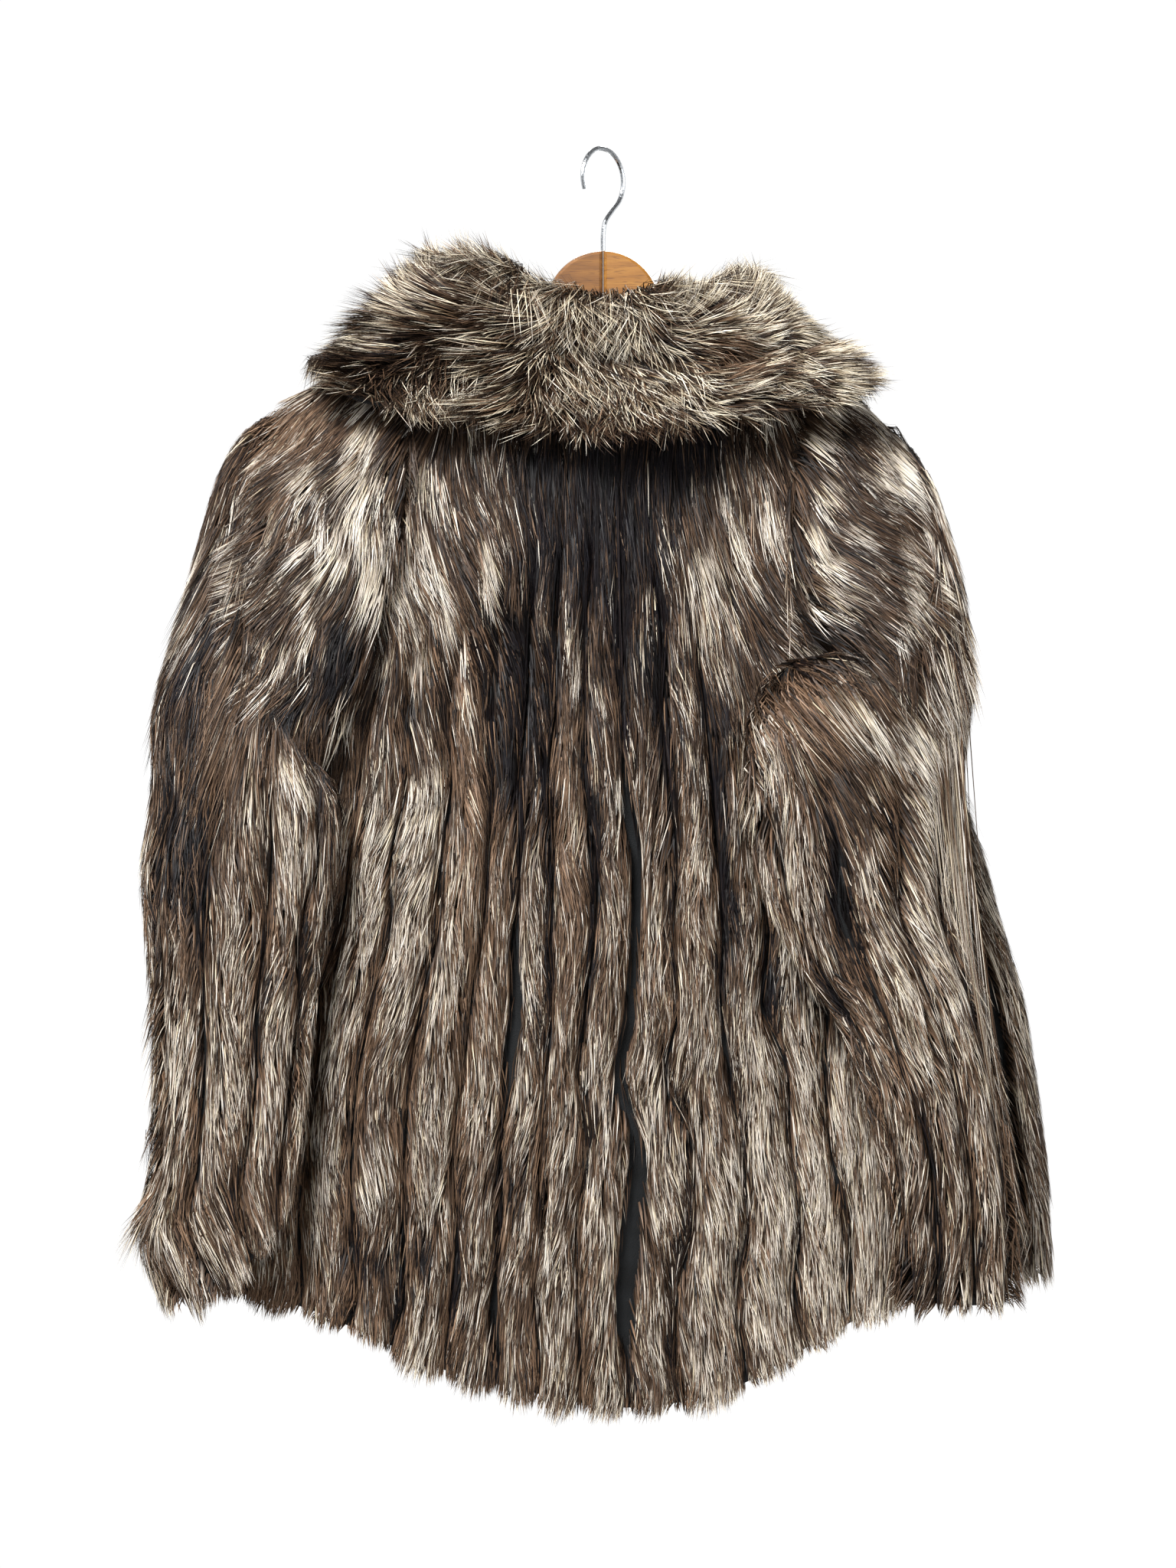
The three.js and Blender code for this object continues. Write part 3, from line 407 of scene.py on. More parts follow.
def acrossX(across, z):
    # middle strips follow a straight flare and the outer ones the edge
    flare = np.abs(across) * np.abs(np.where(across < 0, smoothValue(trend, "z", "left", z),
                                             smoothValue(trend, "z", "right", z)))
    edge = np.abs(across) * np.abs(edgeX(across, z))
    pull = np.abs(across) ** np.where(z < coat["armpit"], *coat["sidePull"])
    return np.sign(across) * (flare + (edge - flare) * pull)


def shoulderLine(x, side):
    endX = np.where(side < 0, -leftEdge["x"][0], rightEdge["x"][0])
    endZ = np.where(side < 0, leftEdge["z"][0], rightEdge["z"][0])
    slope = (coat["tipZ"] - coat["neckTop"]) / (coat["tipX"] - coat["neckHalf"])
    onHanger = coat["neckTop"] + slope * (np.minimum(x, coat["tipX"]) - coat["neckHalf"])
    beyond = np.clip((x - coat["tipX"]) / (endX - coat["tipX"]), 0, 1)
    return onHanger + (endZ - coat["tipZ"]) * beyond


def topHeight(across, isBack):
    x = np.abs(acrossX(across, coat["neckTop"]))
    inward = np.clip(1 - x / coat["neckHalf"], 0, 1)
    if isBack:
        neck = coat["neckTop"] - coat["neckBackDip"] * np.sin(math.pi / 2 * inward)
    else:
        neck = coat["neckTop"] + (coat["frontBreak"] - coat["neckTop"]) * inward ** coat["frontCurve"]
    return np.where(x >= coat["neckHalf"], shoulderLine(x, np.sign(across)), neck)


def foldRise(folds, x, z):
    # long folds: a bell across each, growing from the shoulder blades to the hem
    places = zip(folds["x"], folds["width"], folds["rise"])
    rise = sum(height * np.exp(-((x - middle) / width) ** 2) for middle, width, height in places)
    return rise * smoothStep(-z, -coat["foldTop"], -coat["foldFull"])


def panelCloth(isBack, angles, side=0):
    # leather and crest of a body panel: a flat round section that closes over the shoulder
    rows = coat["armholeRows"] + coat["skirtRows"]
    row = np.linspace(0, rows, rows * coat["perRow"] + 1)[:, None]
    across, bow = -roundCos(angles)[None, :], roundSin(angles)[None, :]
    hemX = acrossX(across, coat["hemLevel"])
    hemZ = smoothValue(backHem if isBack else frontHem, "x", "z", hemX)
    level = blend(coat["armpit"], np.where(across < 0, coat["armpit"], rightEdge["z"][3]), np.abs(across))
    topZ = topHeight(across, isBack)
    upper = blend(topZ, level, np.clip(row / coat["armholeRows"], 0, 1) ** coat["topCrowding"])
    lower = blend(level, hemZ, (row - coat["armholeRows"]) / coat["skirtRows"])
    z = np.where(row <= coat["armholeRows"], upper, lower)
    full = smoothValue(trend, "z", "depth", z)
    edge = armholeEdge(across, z)
    opened = edge + (full - edge) * bow + foldRise(backFolds if isBack else frontFolds, hemX, z) * bow
    topX = np.abs(acrossX(across, coat["neckTop"]))
    neck = full * np.sqrt(np.clip(1 - (topX / coat["neckHalf"]) ** 2, 0, 1))
    down = np.clip((topZ - z) / coat["shoulderRound"], 0, 1)
    y = neck + (opened - neck) * np.sqrt(1 - (1 - down) ** 2) + coat["seamGap"] / 2
    x = acrossX(across, z)
    depthSign = -1 if isBack else 1
    if not isBack:
        fall = np.clip((z - coat["frontBreak"]) / (hemZ - coat["frontBreak"]), 0, 1)
        gap = blend(coat["gapAtBreak"], coat["gapAtHem"], fall)
        x = side * (gap + np.abs(x) * (1 - gap / np.abs(edgeX(across, z))))
    base = np.stack([x, depthSign * y, z + 0 * x], axis=2)
    return base, raisePanel(base, row, isBack, side)


def raisePanel(base, row, isBack, side):
    # crest of the fur: out along the leather's normal, and outwards at armhole and side seam
    depthSign = -1 if isBack else 1
    normal = unit(np.cross(np.gradient(base, axis=1), np.gradient(base, axis=0))) * depthSign
    height = blend(coat["shoulder"], coat["crest"], np.clip(row / 3, 0, 1)) + 0 * base[..., 0]
    onTop = np.clip(1 - row, 0, 1) * (np.abs(base[:1, :, 0]) >= coat["neckHalf"] - 2)
    outwards, upwards = coat["shoulderLean"]
    flat = 0 * base[..., 0]
    lean = np.stack([outwards * np.sign(base[..., 0]), flat, upwards + flat], axis=2)
    normal = unit(blend(normal, lean, onTop[..., None]))
    last = base.shape[1] - 1
    column = np.arange(last + 1)[None, :]
    for edgeSide, isFree in ((-1, isBack or side < 0), (1, isBack or side > 0)):
        if not isFree:
            continue
        distance = (column if edgeSide < 0 else last - column) / coat["perStrip"]
        near = np.clip(1 - distance, 0, 1) + 0 * row
        part = np.clip(row / coat["armholeRows"], 0, 1) ** coat["topCrowding"]
        lift = np.where(row < coat["armholeRows"], 0.9 * (1 - part) ** 2 - 0.5 * part ** 3,
                        -1.1 * np.clip(8 - row, 0, 1))
        turn = depthSign * np.sin(math.pi * part)
        out = unit(np.stack([edgeSide * (0.45 + 0.2 * part), turn, lift], axis=2))
        reach = np.where(row <= coat["armholeRows"], near, smoothStep(near, 0.5, 1))
        normal = unit(blend(normal, out, reach[..., None]))
        rim = np.where(row <= coat["armholeRows"], coat["armhole"], coat["edge"])
        height = blend(height, rim, reach)
    return base + normal * height[..., None]


leftSleeve = {
    "outX": (-258, -294, -313, -328, -347, -361, -362, -367, -362, -359, -360, -362, -368, -356),
    "outY": (-4, -10, -18, -30, -42, -52, -60, -64, -66, -67, -67, -66, -64, -62),
    "outZ": (-194, -226, -276, -334, -397, -458, -520, -590, -655, -720, -780, -828, -874, -914),
    "inX": (-264, -254, -242, -228, -210, -201, -205, -211, -217, -222, -226, -229, -232, -244),
    "inY": (-14, -36, -52, -60, -68, -74, -78, -80, -80, -80, -80, -80, -79, -78),
    "inZ": (-462, -478, -488, -496, -506, -528, -566, -612, -660, -706, -746, -776, -800, -826),
    "depth": (46, 48, 48, 46, 43, 41, 40, 40, 40, 39, 39, 39, 39, 38),
    "follow": (0.5, 0.1, 0, 0, 0, 0, 0, 0, 0, 0, 0, 0, 0, 0),
    "side": -1, "sag": 24,
}
rightSleeve = {
    "outX": (242, 264, 276, 288, 295, 295, 291, 286, 281, 289, 303, 316, 326, 330, 328),
    "outY": (-4, -10, -18, -28, -40, -50, -58, -62, -64, -65, -65, -65, -64, -63, -62),
    "outZ": (-224, -260, -306, -350, -394, -436, -480, -525, -572, -622, -682, -744, -800, -858, -912),
    "inX": (280, 266, 226, 180, 138, 112, 104, 106, 120, 148, 178, 198, 210, 218, 221),
    "inY": (-14, -38, -56, -66, -73, -77, -78, -79, -80, -80, -80, -79, -78, -77, -76),
    "inZ": (-464, -468, -450, -424, -412, -440, -492, -545, -600, -650, -700, -752, -800, -852, -906),
    "depth": (46, 47, 45, 42, 39, 36, 35, 35, 36, 37, 38, 38, 38, 38, 37),
    "follow": (0.5, 0.1, 0, 0, 0, 0, 0, 0, 0, 0, 0, 0, 0, 0, 0),
    "side": 1, "sag": 6,
}
sleeveCut = {"strips": 10, "seam": 0.6, "headStep": 8.0, "edgeTurn": 24.0, "furthest": 6.0, "pushStep": 0.05}


def crestDepth(x, z):
    # half depth of the back's fur at a place, or nothing beyond its edge
    side = np.where(x < 0, -1.0, 1.0)
    below = z < coat["armpit"]
    reach = np.abs(edgeX(side, z)) + np.where(below, coat["crest"] + coat["restGap"], 0)
    across = np.abs(x) / reach
    bow = np.clip(1 - across ** coat["power"], 0, 1) ** (1 / coat["power"])
    opened = armholeEdge(side, z)
    full = smoothValue(trend, "z", "depth", z) + foldRise(backFolds, x, z)
    depth = opened + (full - opened + coat["crest"] + coat["restGap"]) * bow
    depth = depth + np.where(below, 0, coat["crest"] * (1 - bow))
    return np.where(across >= 1, -1.0, depth)


def clearOfBody(points):
    # moves a sleeve's points off the body's fur, and round its side edge below the armpit
    x, y, z = points[..., 0].copy(), points[..., 1].copy(), points[..., 2]
    depth = crestDepth(x, z)
    inside = np.abs(y) < depth
    side = np.sign(x)
    centre = np.abs(edgeX(side, z)) - sleeveCut["edgeTurn"]
    beyond = np.abs(x) - centre
    straight = inside & ((beyond <= 0) | (z > coat["armpit"]))
    turning = inside & ~straight
    startY = y.copy()
    y = np.where(straight, -depth, y)
    for grow in np.arange(1, sleeveCut["furthest"], sleeveCut["pushStep"]):
        x = np.where(turning, side * (centre + beyond * grow), x)
        y = np.where(turning, startY * grow, y)
        turning = turning & (np.abs(y) < crestDepth(x, z))
    return np.stack([x, y, z], axis=-1)


def armholeLoop(side, backGrid, frontGrid, away):
    # the rim shared by back, front and sleeve: down the back's edge and up the front's
    column = 0 if side < 0 else -1
    last = coat["armholeRows"] * coat["perRow"]
    loop = np.concatenate([backGrid[:last + 1, column], frontGrid[last - 1:0:-1, column]])
    loop[0, 1] = loop[last, 1] = 0
    loop[:, 0] += side * away
    return np.concatenate([loop, loop[:1]])


def sleeveCloth(sleeve, back, front):
    # rings that run from the outer edge round the back to the inner edge, leather and crest
    count = sleeveCut["strips"] * coat["perStrip"]
    table, row = sectionTable(sleeve)
    out = smoothPlaces(table, "row", "out", row)[:, None, :]
    inn = smoothPlaces(table, "row", "in", row)[:, None, :]
    centre, wide = (out + inn) / 2, (out - inn) / 2
    deep = np.array([0, -1.0, 0]) + 0 * wide
    deep = deep - wide * (deep * wide).sum(2, keepdims=True) / (wide ** 2).sum(2, keepdims=True)
    deep = unit(deep) * smoothValue(table, "row", "depth", row)[:, None, None]
    down = unit(np.cross(wide, deep))
    down = down * np.where(down[..., 2:] < 0, 1, -1)
    angle = np.linspace(0, 2 * math.pi, count + 1)[None, :, None]
    sag = np.clip(row - (row[-1] - 1), 0, 1)[:, None, None] * sleeve["sag"]
    points = centre + wide * np.cos(angle) + deep * np.sin(angle) + down * sag * np.maximum(np.sin(angle), 0)
    normal = unit(wide * np.cos(angle) / (wide ** 2).sum(2, keepdims=True)
                  + deep * np.sin(angle) / (deep ** 2).sum(2, keepdims=True))
    shares = np.linspace(0, 1, count + 1)
    headLoop = alongLine(armholeLoop(sleeve["side"], back[1], front[1], sleeveCut["headStep"]), shares)
    points = blend(points, headLoop[None], smoothValue(table, "row", "follow", row)[:, None, None])
    crest = clearOfBody(points)
    base = crest - normal * coat["crest"]
    rims = [alongLine(armholeLoop(sleeve["side"], back[face], front[face], sleeveCut["seam"]), shares)[None]
            for face in (0, 1)]
    steps = np.linspace(0, 1, coat["perRow"] + 1)[:-1, None, None]
    return [np.concatenate([blend(rim, grid[:1], steps), grid]) for rim, grid in zip(rims, (base, crest))]


collarGuide = {
    "turn": (0, 0.1, 0.2, 0.25, 0.3, 0.38, 0.44, 0.5, 0.56, 0.62, 0.7, 0.75, 0.8, 0.9, 1),
    "rollX": (-5, -20, -56, -82, -119, -84, -44, 0, 46, 84, 110, 84, 56, 20, 5),
    "rollY": (62, 64, 54, 34, -2, -56, -64, -67, -64, -56, -2, 39, 54, 64, 62),
    "rollZ": (-322, -260, -176, -126, -94, -110, -124, -134, -128, -123, -109, -122, -176, -260, -322),
    "edgeX": (-34, -104, -158, -198, -223, -196, -98, 2, 102, 182, 206, 190, 158, 104, 34),
    "edgeY": (66, 68, 66, 44, -4, -66, -72, -74, -72, -66, -6, 44, 66, 68, 66),
    "edgeZ": (-352, -296, -236, -202, -174, -206, -221, -229, -221, -208, -186, -208, -236, -296, -352),
    "fur": (12, 17, 21, 24, 25, 24, 21, 20, 20, 20, 16, 18, 19, 17, 12),
    "neckTurn": 0.3, "stations": 44, "steps": 8, "standFur": 5, "rest": 2, "rollShare": 0.3,
    "seatDraw": (0.98, 1.035, 1), "seatLift": (0, 0, 2.5),  # how it lies on the neckline's rim
}


def knotGap(a, b):
    return np.maximum(((a - b) ** 2).sum(-1, keepdims=True) ** 0.25, 1e-4)


def curvePoint(knots, share):
    # centripetal curve through four rows of knots, read at shares of its three spans
    knots = [2 * knots[0] - knots[1], *knots, 2 * knots[-1] - knots[-2]]
    span = np.minimum((share * 3).astype(int), 2)
    part = (share * 3 - span)[:, None, None]
    stack = np.stack(knots)
    p0, p1, p2, p3 = (stack[span + k] for k in range(4))
    d0, d1, d2 = knotGap(p0, p1), knotGap(p1, p2), knotGap(p2, p3)
    t1 = ((p1 - p0) / d0 - (p2 - p0) / (d0 + d1) + (p2 - p1) / d1) * d1
    t2 = ((p2 - p1) / d1 - (p3 - p1) / (d1 + d2) + (p3 - p2) / d2) * d1
    return (p1 + t1 * part + (-3 * p1 + 3 * p2 - 2 * t1 - t2) * part ** 2
            + (2 * p1 - 2 * p2 + t1 + t2) * part ** 3)


def clearOfShoulder(points):
    # moves the collar's points off the fur of the shoulder, back and front below it
    x, y, z = points[..., 0], points[..., 1], points[..., 2]
    reach = coat["crest"] + collarGuide["rest"]
    depth = smoothValue(trend, "z", "depth", z) + reach
    top = shoulderLine(np.maximum(np.abs(x), coat["neckHalf"]), x)
    centre = top - coat["shoulderRound"]
    ratio = np.hypot(y / depth, (z - centre) / (coat["shoulderRound"] + reach))
    low = z <= centre
    near = ~low & (np.abs(x) >= coat["neckHalf"]) & (ratio < 1)
    ratio = np.where(near, ratio, 1)
    newY = np.where(low, np.sign(y) * np.maximum(np.abs(y), depth), y / ratio)
    return np.stack([x, newY, centre + (z - centre) / ratio], axis=-1)


def neckRim(cloth, turns):
    # neckline rim of one panel, from the wearer's left to right, read at shares of its length
    base, crest = cloth
    return alongLine(crest[0][np.abs(base[0, :, 0]) <= coat["neckHalf"]], turns)


def collarCloth(back, frontLeft, frontRight):
    # stand, roll and fall: from the neckline over the roll to the collar's outer edge
    turn = np.linspace(0, 1, collarGuide["stations"] * 2 + 1)
    neck = collarGuide["neckTurn"]
    left, right = (neckRim([grid[:, ::-1] for grid in front], np.clip(part, 0, 1))
                   for front, part in ((frontLeft, turn / neck), (frontRight, (turn - 1 + neck) / neck)))
    middle = neckRim(back, np.clip((turn - neck) / (1 - 2 * neck), 0, 1))
    start = np.where((turn < neck)[:, None], left, np.where((turn > 1 - neck)[:, None], right, middle))
    start = start * collarGuide["seatDraw"] + collarGuide["seatLift"]
    roll, edge = (smoothPlaces(collarGuide, "turn", name, turn) for name in ("roll", "edge"))
    share = np.linspace(0, 1, collarGuide["steps"] * coat["perRow"] + 1)
    points = curvePoint([start, roll, blend(roll, edge, 0.5), edge], share)
    pushed = clearOfShoulder(points)
    base = np.where((share > collarGuide["rollShare"])[:, None, None], pushed, points)
    across = unit(np.cross(edge - roll, start - roll))[None]
    normal = unit(np.cross(np.gradient(points, axis=0), across))
    rise = smoothStep(share, 0.05, 0.4)[:, None]
    height = blend(collarGuide["standFur"], smoothValue(collarGuide, "turn", "fur", turn)[None], rise)
    return base, base + normal * height[..., None]


capes = {  # long shoulder fur that falls over each armhole, from the back onto the sleeve
    "left": {
        "inX": (-140, -141, -142, -146, -152, -164, -180, -204),
        "inY": (14, -16, -44, -54, -56, -55, -54, -56),
        "inZ": (-150, -156, -196, -245, -296, -350, -406, -462),
        "outX": (-238, -242, -260, -276, -286, -284, -276, -266),
        "outY": (16, -8, -30, -52, -66, -79, -88, -91),
        "outZ": (-194, -200, -240, -290, -340, -394, -450, -506), "swell": (0, 2, 3, 4, 6, 8, 8, 6),
    },
    "right": {
        "inX": (150, 150, 148, 142, 138, 138, 140), "inY": (14, -16, -44, -54, -57, -64, -78),
        "inZ": (-154, -160, -200, -250, -300, -346, -390),
        "outX": (224, 228, 238, 246, 254, 262, 264), "outY": (14, -8, -32, -51, -65, -77, -87),
        "outZ": (-220, -228, -266, -310, -352, -396, -438), "swell": (0, 2, 4, 5, 8, 12, 10),
    },
}
capeCut = {"height": 10, "columns": 24, "upwards": 0.3}


def capeCloth(cape):
    # a sheet from body to sleeve, swollen backwards in between
    table, row = sectionTable(cape)
    inner = smoothPlaces(table, "row", "in", row)[:, None]
    outer = smoothPlaces(table, "row", "out", row)[:, None]
    swell = smoothValue(table, "row", "swell", row)[:, None, None]
    share = np.linspace(0, 1, capeCut["columns"] + 1)[None, :, None]
    backwards = np.array([0, -1.0, 0])
    base = blend(inner, outer, share) + backwards * swell * np.sin(math.pi * share)
    lean = unit(outer - inner) * (share - 0.5) + backwards + np.array([0, 0, capeCut["upwards"]])
    return base, base + unit(lean) * capeCut["height"]


back = panelCloth(True, backColumns())
halfColumns = evenAngles(coat["frontStrips"] * coat["perStrip"], 0, math.pi / 2)
frontLeft = panelCloth(False, halfColumns, -1)
frontRight = panelCloth(False, (math.pi - halfColumns)[::-1], 1)
cloths = {
    "back": back, "front_left": frontLeft, "front_right": frontRight,
    "sleeve_left": sleeveCloth(leftSleeve, back, frontLeft),
    "sleeve_right": sleeveCloth(rightSleeve, back, frontRight),
    "collar": collarCloth(back, frontLeft, frontRight),
}

# Leather ground: one thin shell for each piece, on its solid's own form
pelt = {"thickness": 1.5, "proud": 0.2}


def makeShell(name, base, crest, isTube):
    # outer face on the cut, inner face one thickness behind it, closed round its rim
    base, crest = base[::2, ::2], crest[::2, ::2]
    out = unit(crest - base)
    rows, columns = base.shape[:2]
    if isTube:
        base, out, columns = base[:, :-1], out[:, :-1], columns - 1
    outer = base + out * pelt["proud"]
    inner = base - out * (pelt["thickness"] - pelt["proud"])
    points = np.concatenate([outer.reshape(-1, 3), inner.reshape(-1, 3)]) * 0.001
    count = rows * columns
    number = np.arange(count).reshape(rows, columns)
    if isTube:
        number = np.concatenate([number, number[:, :1]], axis=1)
    a, b, c, d = number[:-1, :-1], number[:-1, 1:], number[1:, 1:], number[1:, :-1]
    top = np.stack([a, b, c, d], axis=-1).reshape(-1, 4)
    rims = [(number[0, 1:], number[0, :-1]), (number[-1, :-1], number[-1, 1:])]
    if not isTube:
        rims += [(number[:-1, 0], number[1:, 0]), (number[1:, -1], number[:-1, -1])]
    sides = [np.stack([p, q, q + count, p + count], axis=-1) for p, q in rims]
    faces = np.concatenate([top, top[:, ::-1] + count, *sides])
    mesh = bpy.data.meshes.new(name)
    mesh.from_pydata(points.tolist(), [], faces.tolist())
    mesh.polygons.foreach_set("use_smooth", np.ones(len(faces), bool))
    mesh.materials.append(leatherMaterial)
    mesh.update()
    shell = addObject(name, mesh)
    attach(shell, "root")
    return shell


# Fur: blades rooted on the ground, lying between it and the crest of the fur
furCut = {
    "steps": (0.0, 0.36, 1.0),    # places along a hair, root to tip
    "widths": (0.85, 1.0, 0.0),
    "window": 0.008,              # share of the palette that one blade's width spans
    "beyond": 4,                  # columns a tip may hang past a panel's edge
    "lockKinds": 4093,            # locks drawn before they come round again
    "noiseCells": 97,             # width of the net of random values, before it comes round again
    "foremost": 97.0,             # no hair stands further forward than this, and fur that comes
    "softening": 12.0,            # within this of it is laid flatter
}
openSeams = {  # places where a seam between two strips lies open down to the black ground
    "seam": (3, 3, 6, 6, 9, 9, 16),
    "top": (-350, -733, -600, -885, -475, -760, -575),
    "end": (-436, -768, -762, -940, -772, -948, -880),
    "half": (8, 5, 7, 5, 6, 8, 13),
}


def gridCell(grid, row, column, isTube):
    # the four corners round each place, left before right and upper before lower, and its shares
    rows, columns = grid.shape[:2]
    column = np.mod(column, columns - 1) if isTube else column
    low = np.clip(np.floor(column).astype(int), 0, columns - 2)
    top = np.clip(np.floor(row).astype(int), 0, rows - 2)
    corners = [grid[top + below, low + aside] for below in (0, 1) for aside in (0, 1)]
    return *corners, (column - low)[:, None], (row - top)[:, None]


def gridValue(grid, row, column, isTube):
    # a grid read between its points, and carried straight on past its ends
    a, b, c, d, side, down = gridCell(grid, row, column, isTube)
    return blend(blend(a, b, side), blend(c, d, side), down)


def gridSlopes(grid, row, column, isTube):
    # how far a step of one row and a step of one column goes, in millimetres
    a, b, c, d, side, down = gridCell(grid, row, column, isTube)
    return blend(c - a, d - b, side), blend(b - a, d - c, np.clip(down, 0, 1))


def gridSteps(alongRow, alongColumn, direction):
    # rows and columns for one millimetre on the cloth towards a direction, by least squares
    rr, cc = (alongRow ** 2).sum(1), (alongColumn ** 2).sum(1)
    rc = (alongRow * alongColumn).sum(1)
    r, c = (alongRow * direction).sum(1), (alongColumn * direction).sum(1)
    whole = np.maximum(rr * cc - rc ** 2, 1e-3)
    a, b = (r * cc - c * rc) / whole, (c * rr - r * rc) / whole
    reach = np.linalg.norm(alongRow * a[:, None] + alongColumn * b[:, None], axis=1)
    reach = np.maximum(reach, 0.35)
    return np.clip(a / reach, -0.6, 0.6), np.clip(b / reach, -1.2, 1.2)


def fieldNoise(x, y, size, seed):
    # smooth noise from 0 to 1 on a net of random values
    cells = furCut["noiseCells"]
    net = np.random.default_rng(seed).random((cells, cells))
    u, v = x / size + 31.3, y / size + 17.7
    i, j = np.floor(u).astype(int), np.floor(v).astype(int)
    a, b = smoothStep(u - i, 0, 1), smoothStep(v - j, 0, 1)
    near, far = (blend(net[i % cells, k % cells], net[(i + 1) % cells, k % cells], a) for k in (j, j + 1))
    return blend(near, far, b)


def makeHairMesh(name, centres, sides, widths, tones, bands):
    # each hair is a flat blade: one quad from its root, then a long point
    count = len(centres)
    half = sides * widths[..., None] / 2
    points = np.empty((count, 5, 3), np.float32)
    points[:, 0:4:2] = centres[:, :2] - half[:, :2]
    points[:, 1:4:2] = centres[:, :2] + half[:, :2]
    points[:, 4] = centres[:, 2]
    corners = np.array([0, 1, 3, 2, 2, 3, 4])
    loops = (np.arange(count)[:, None] * 5 + corners).astype(np.int32)
    starts = (np.arange(count)[:, None] * 7 + np.array([0, 4])).astype(np.int32)
    mesh = bpy.data.meshes.new(name)
    mesh.vertices.add(count * 5)
    mesh.vertices.foreach_set("co", (points * 0.001).ravel())
    mesh.loops.add(count * 7)
    mesh.loops.foreach_set("vertex_index", loops.ravel())
    mesh.polygons.add(count * 2)
    mesh.polygons.foreach_set("loop_start", starts.ravel())
    mesh.polygons.foreach_set("use_smooth", np.ones(count * 2, bool))
    aside = np.array([-1, 1, -1, 1, 0]) * furCut["window"]
    place = np.stack([np.clip(tones, 0.01, 0.99)[:, None] + aside, bands[:, [0, 0, 1, 1, 2]]], axis=2)
    layer = mesh.uv_layers.new(name="OFBake")
    layer.data.foreach_set("uv", place[:, corners].astype(np.float32).ravel())
    mesh.materials.append(furMaterial)
    mesh.update()
    mesh.validate()
    hair = addObject(name, mesh)
    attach(hair, "root")
    return hair


def seamShift(seam, z, look, seed):
    # seams between strips wander, in shares of a strip, but for a panel's own edges
    wander = look["wander"] * (fieldNoise(np.mod(seam, look["stripCount"]) * 33, z, 58, seed + 7) - 0.5)
    return wander if look["tube"] else np.where((seam <= 0) | (seam >= look["stripCount"]), 0, wander)


def stripSides(strip, z, look, seed):
    return [(seam + seamShift(seam, z, look, seed)) * coat["perStrip"] for seam in (strip, strip + 1)]


def together(points, look):
    # 1 high up and on the collar, where whole locks turn pale, and 0 on the finely streaked skirt
    return np.ones(len(points)) if look["locksAlike"] else smoothStep(points[:, 2], -620, -430)


def looseness(points, look):
    # 1 where the fur flows freely over the seams, 0 where each strip stands alone
    top = smoothValue(look["loose"], "x", "z", points[:, 0])
    return smoothStep(points[:, 2], top - 90, top)


def stripLimits(strip, z, free, look, seed):
    # the part of its strip that fur may cover, less where a seam lies open
    low = 0.05 * fieldNoise(strip * 37, z, 40, seed + 8)
    high = 1 - 0.05 * fieldNoise(strip * 37 + 19, z, 40, seed + 8)
    for seam, top, end, half in zip(*look["openSeams"].values()):
        wide = half / 40 * smoothStep(-z, -top, -top + 34) * smoothStep(z, end, end + 8)
        low = np.where(strip == seam, np.maximum(low, wide), low)
        high = np.where(strip == seam - 1, np.minimum(high, 1 - wide), high)
    return low - 1.6 * free, high + 1.6 * free


def stripHump(part):
    groove = coat["groove"] / coat["crest"] * 0.5
    return groove + (1 - groove) * np.sin(math.pi * np.clip(part, 0, 1)) ** 0.75


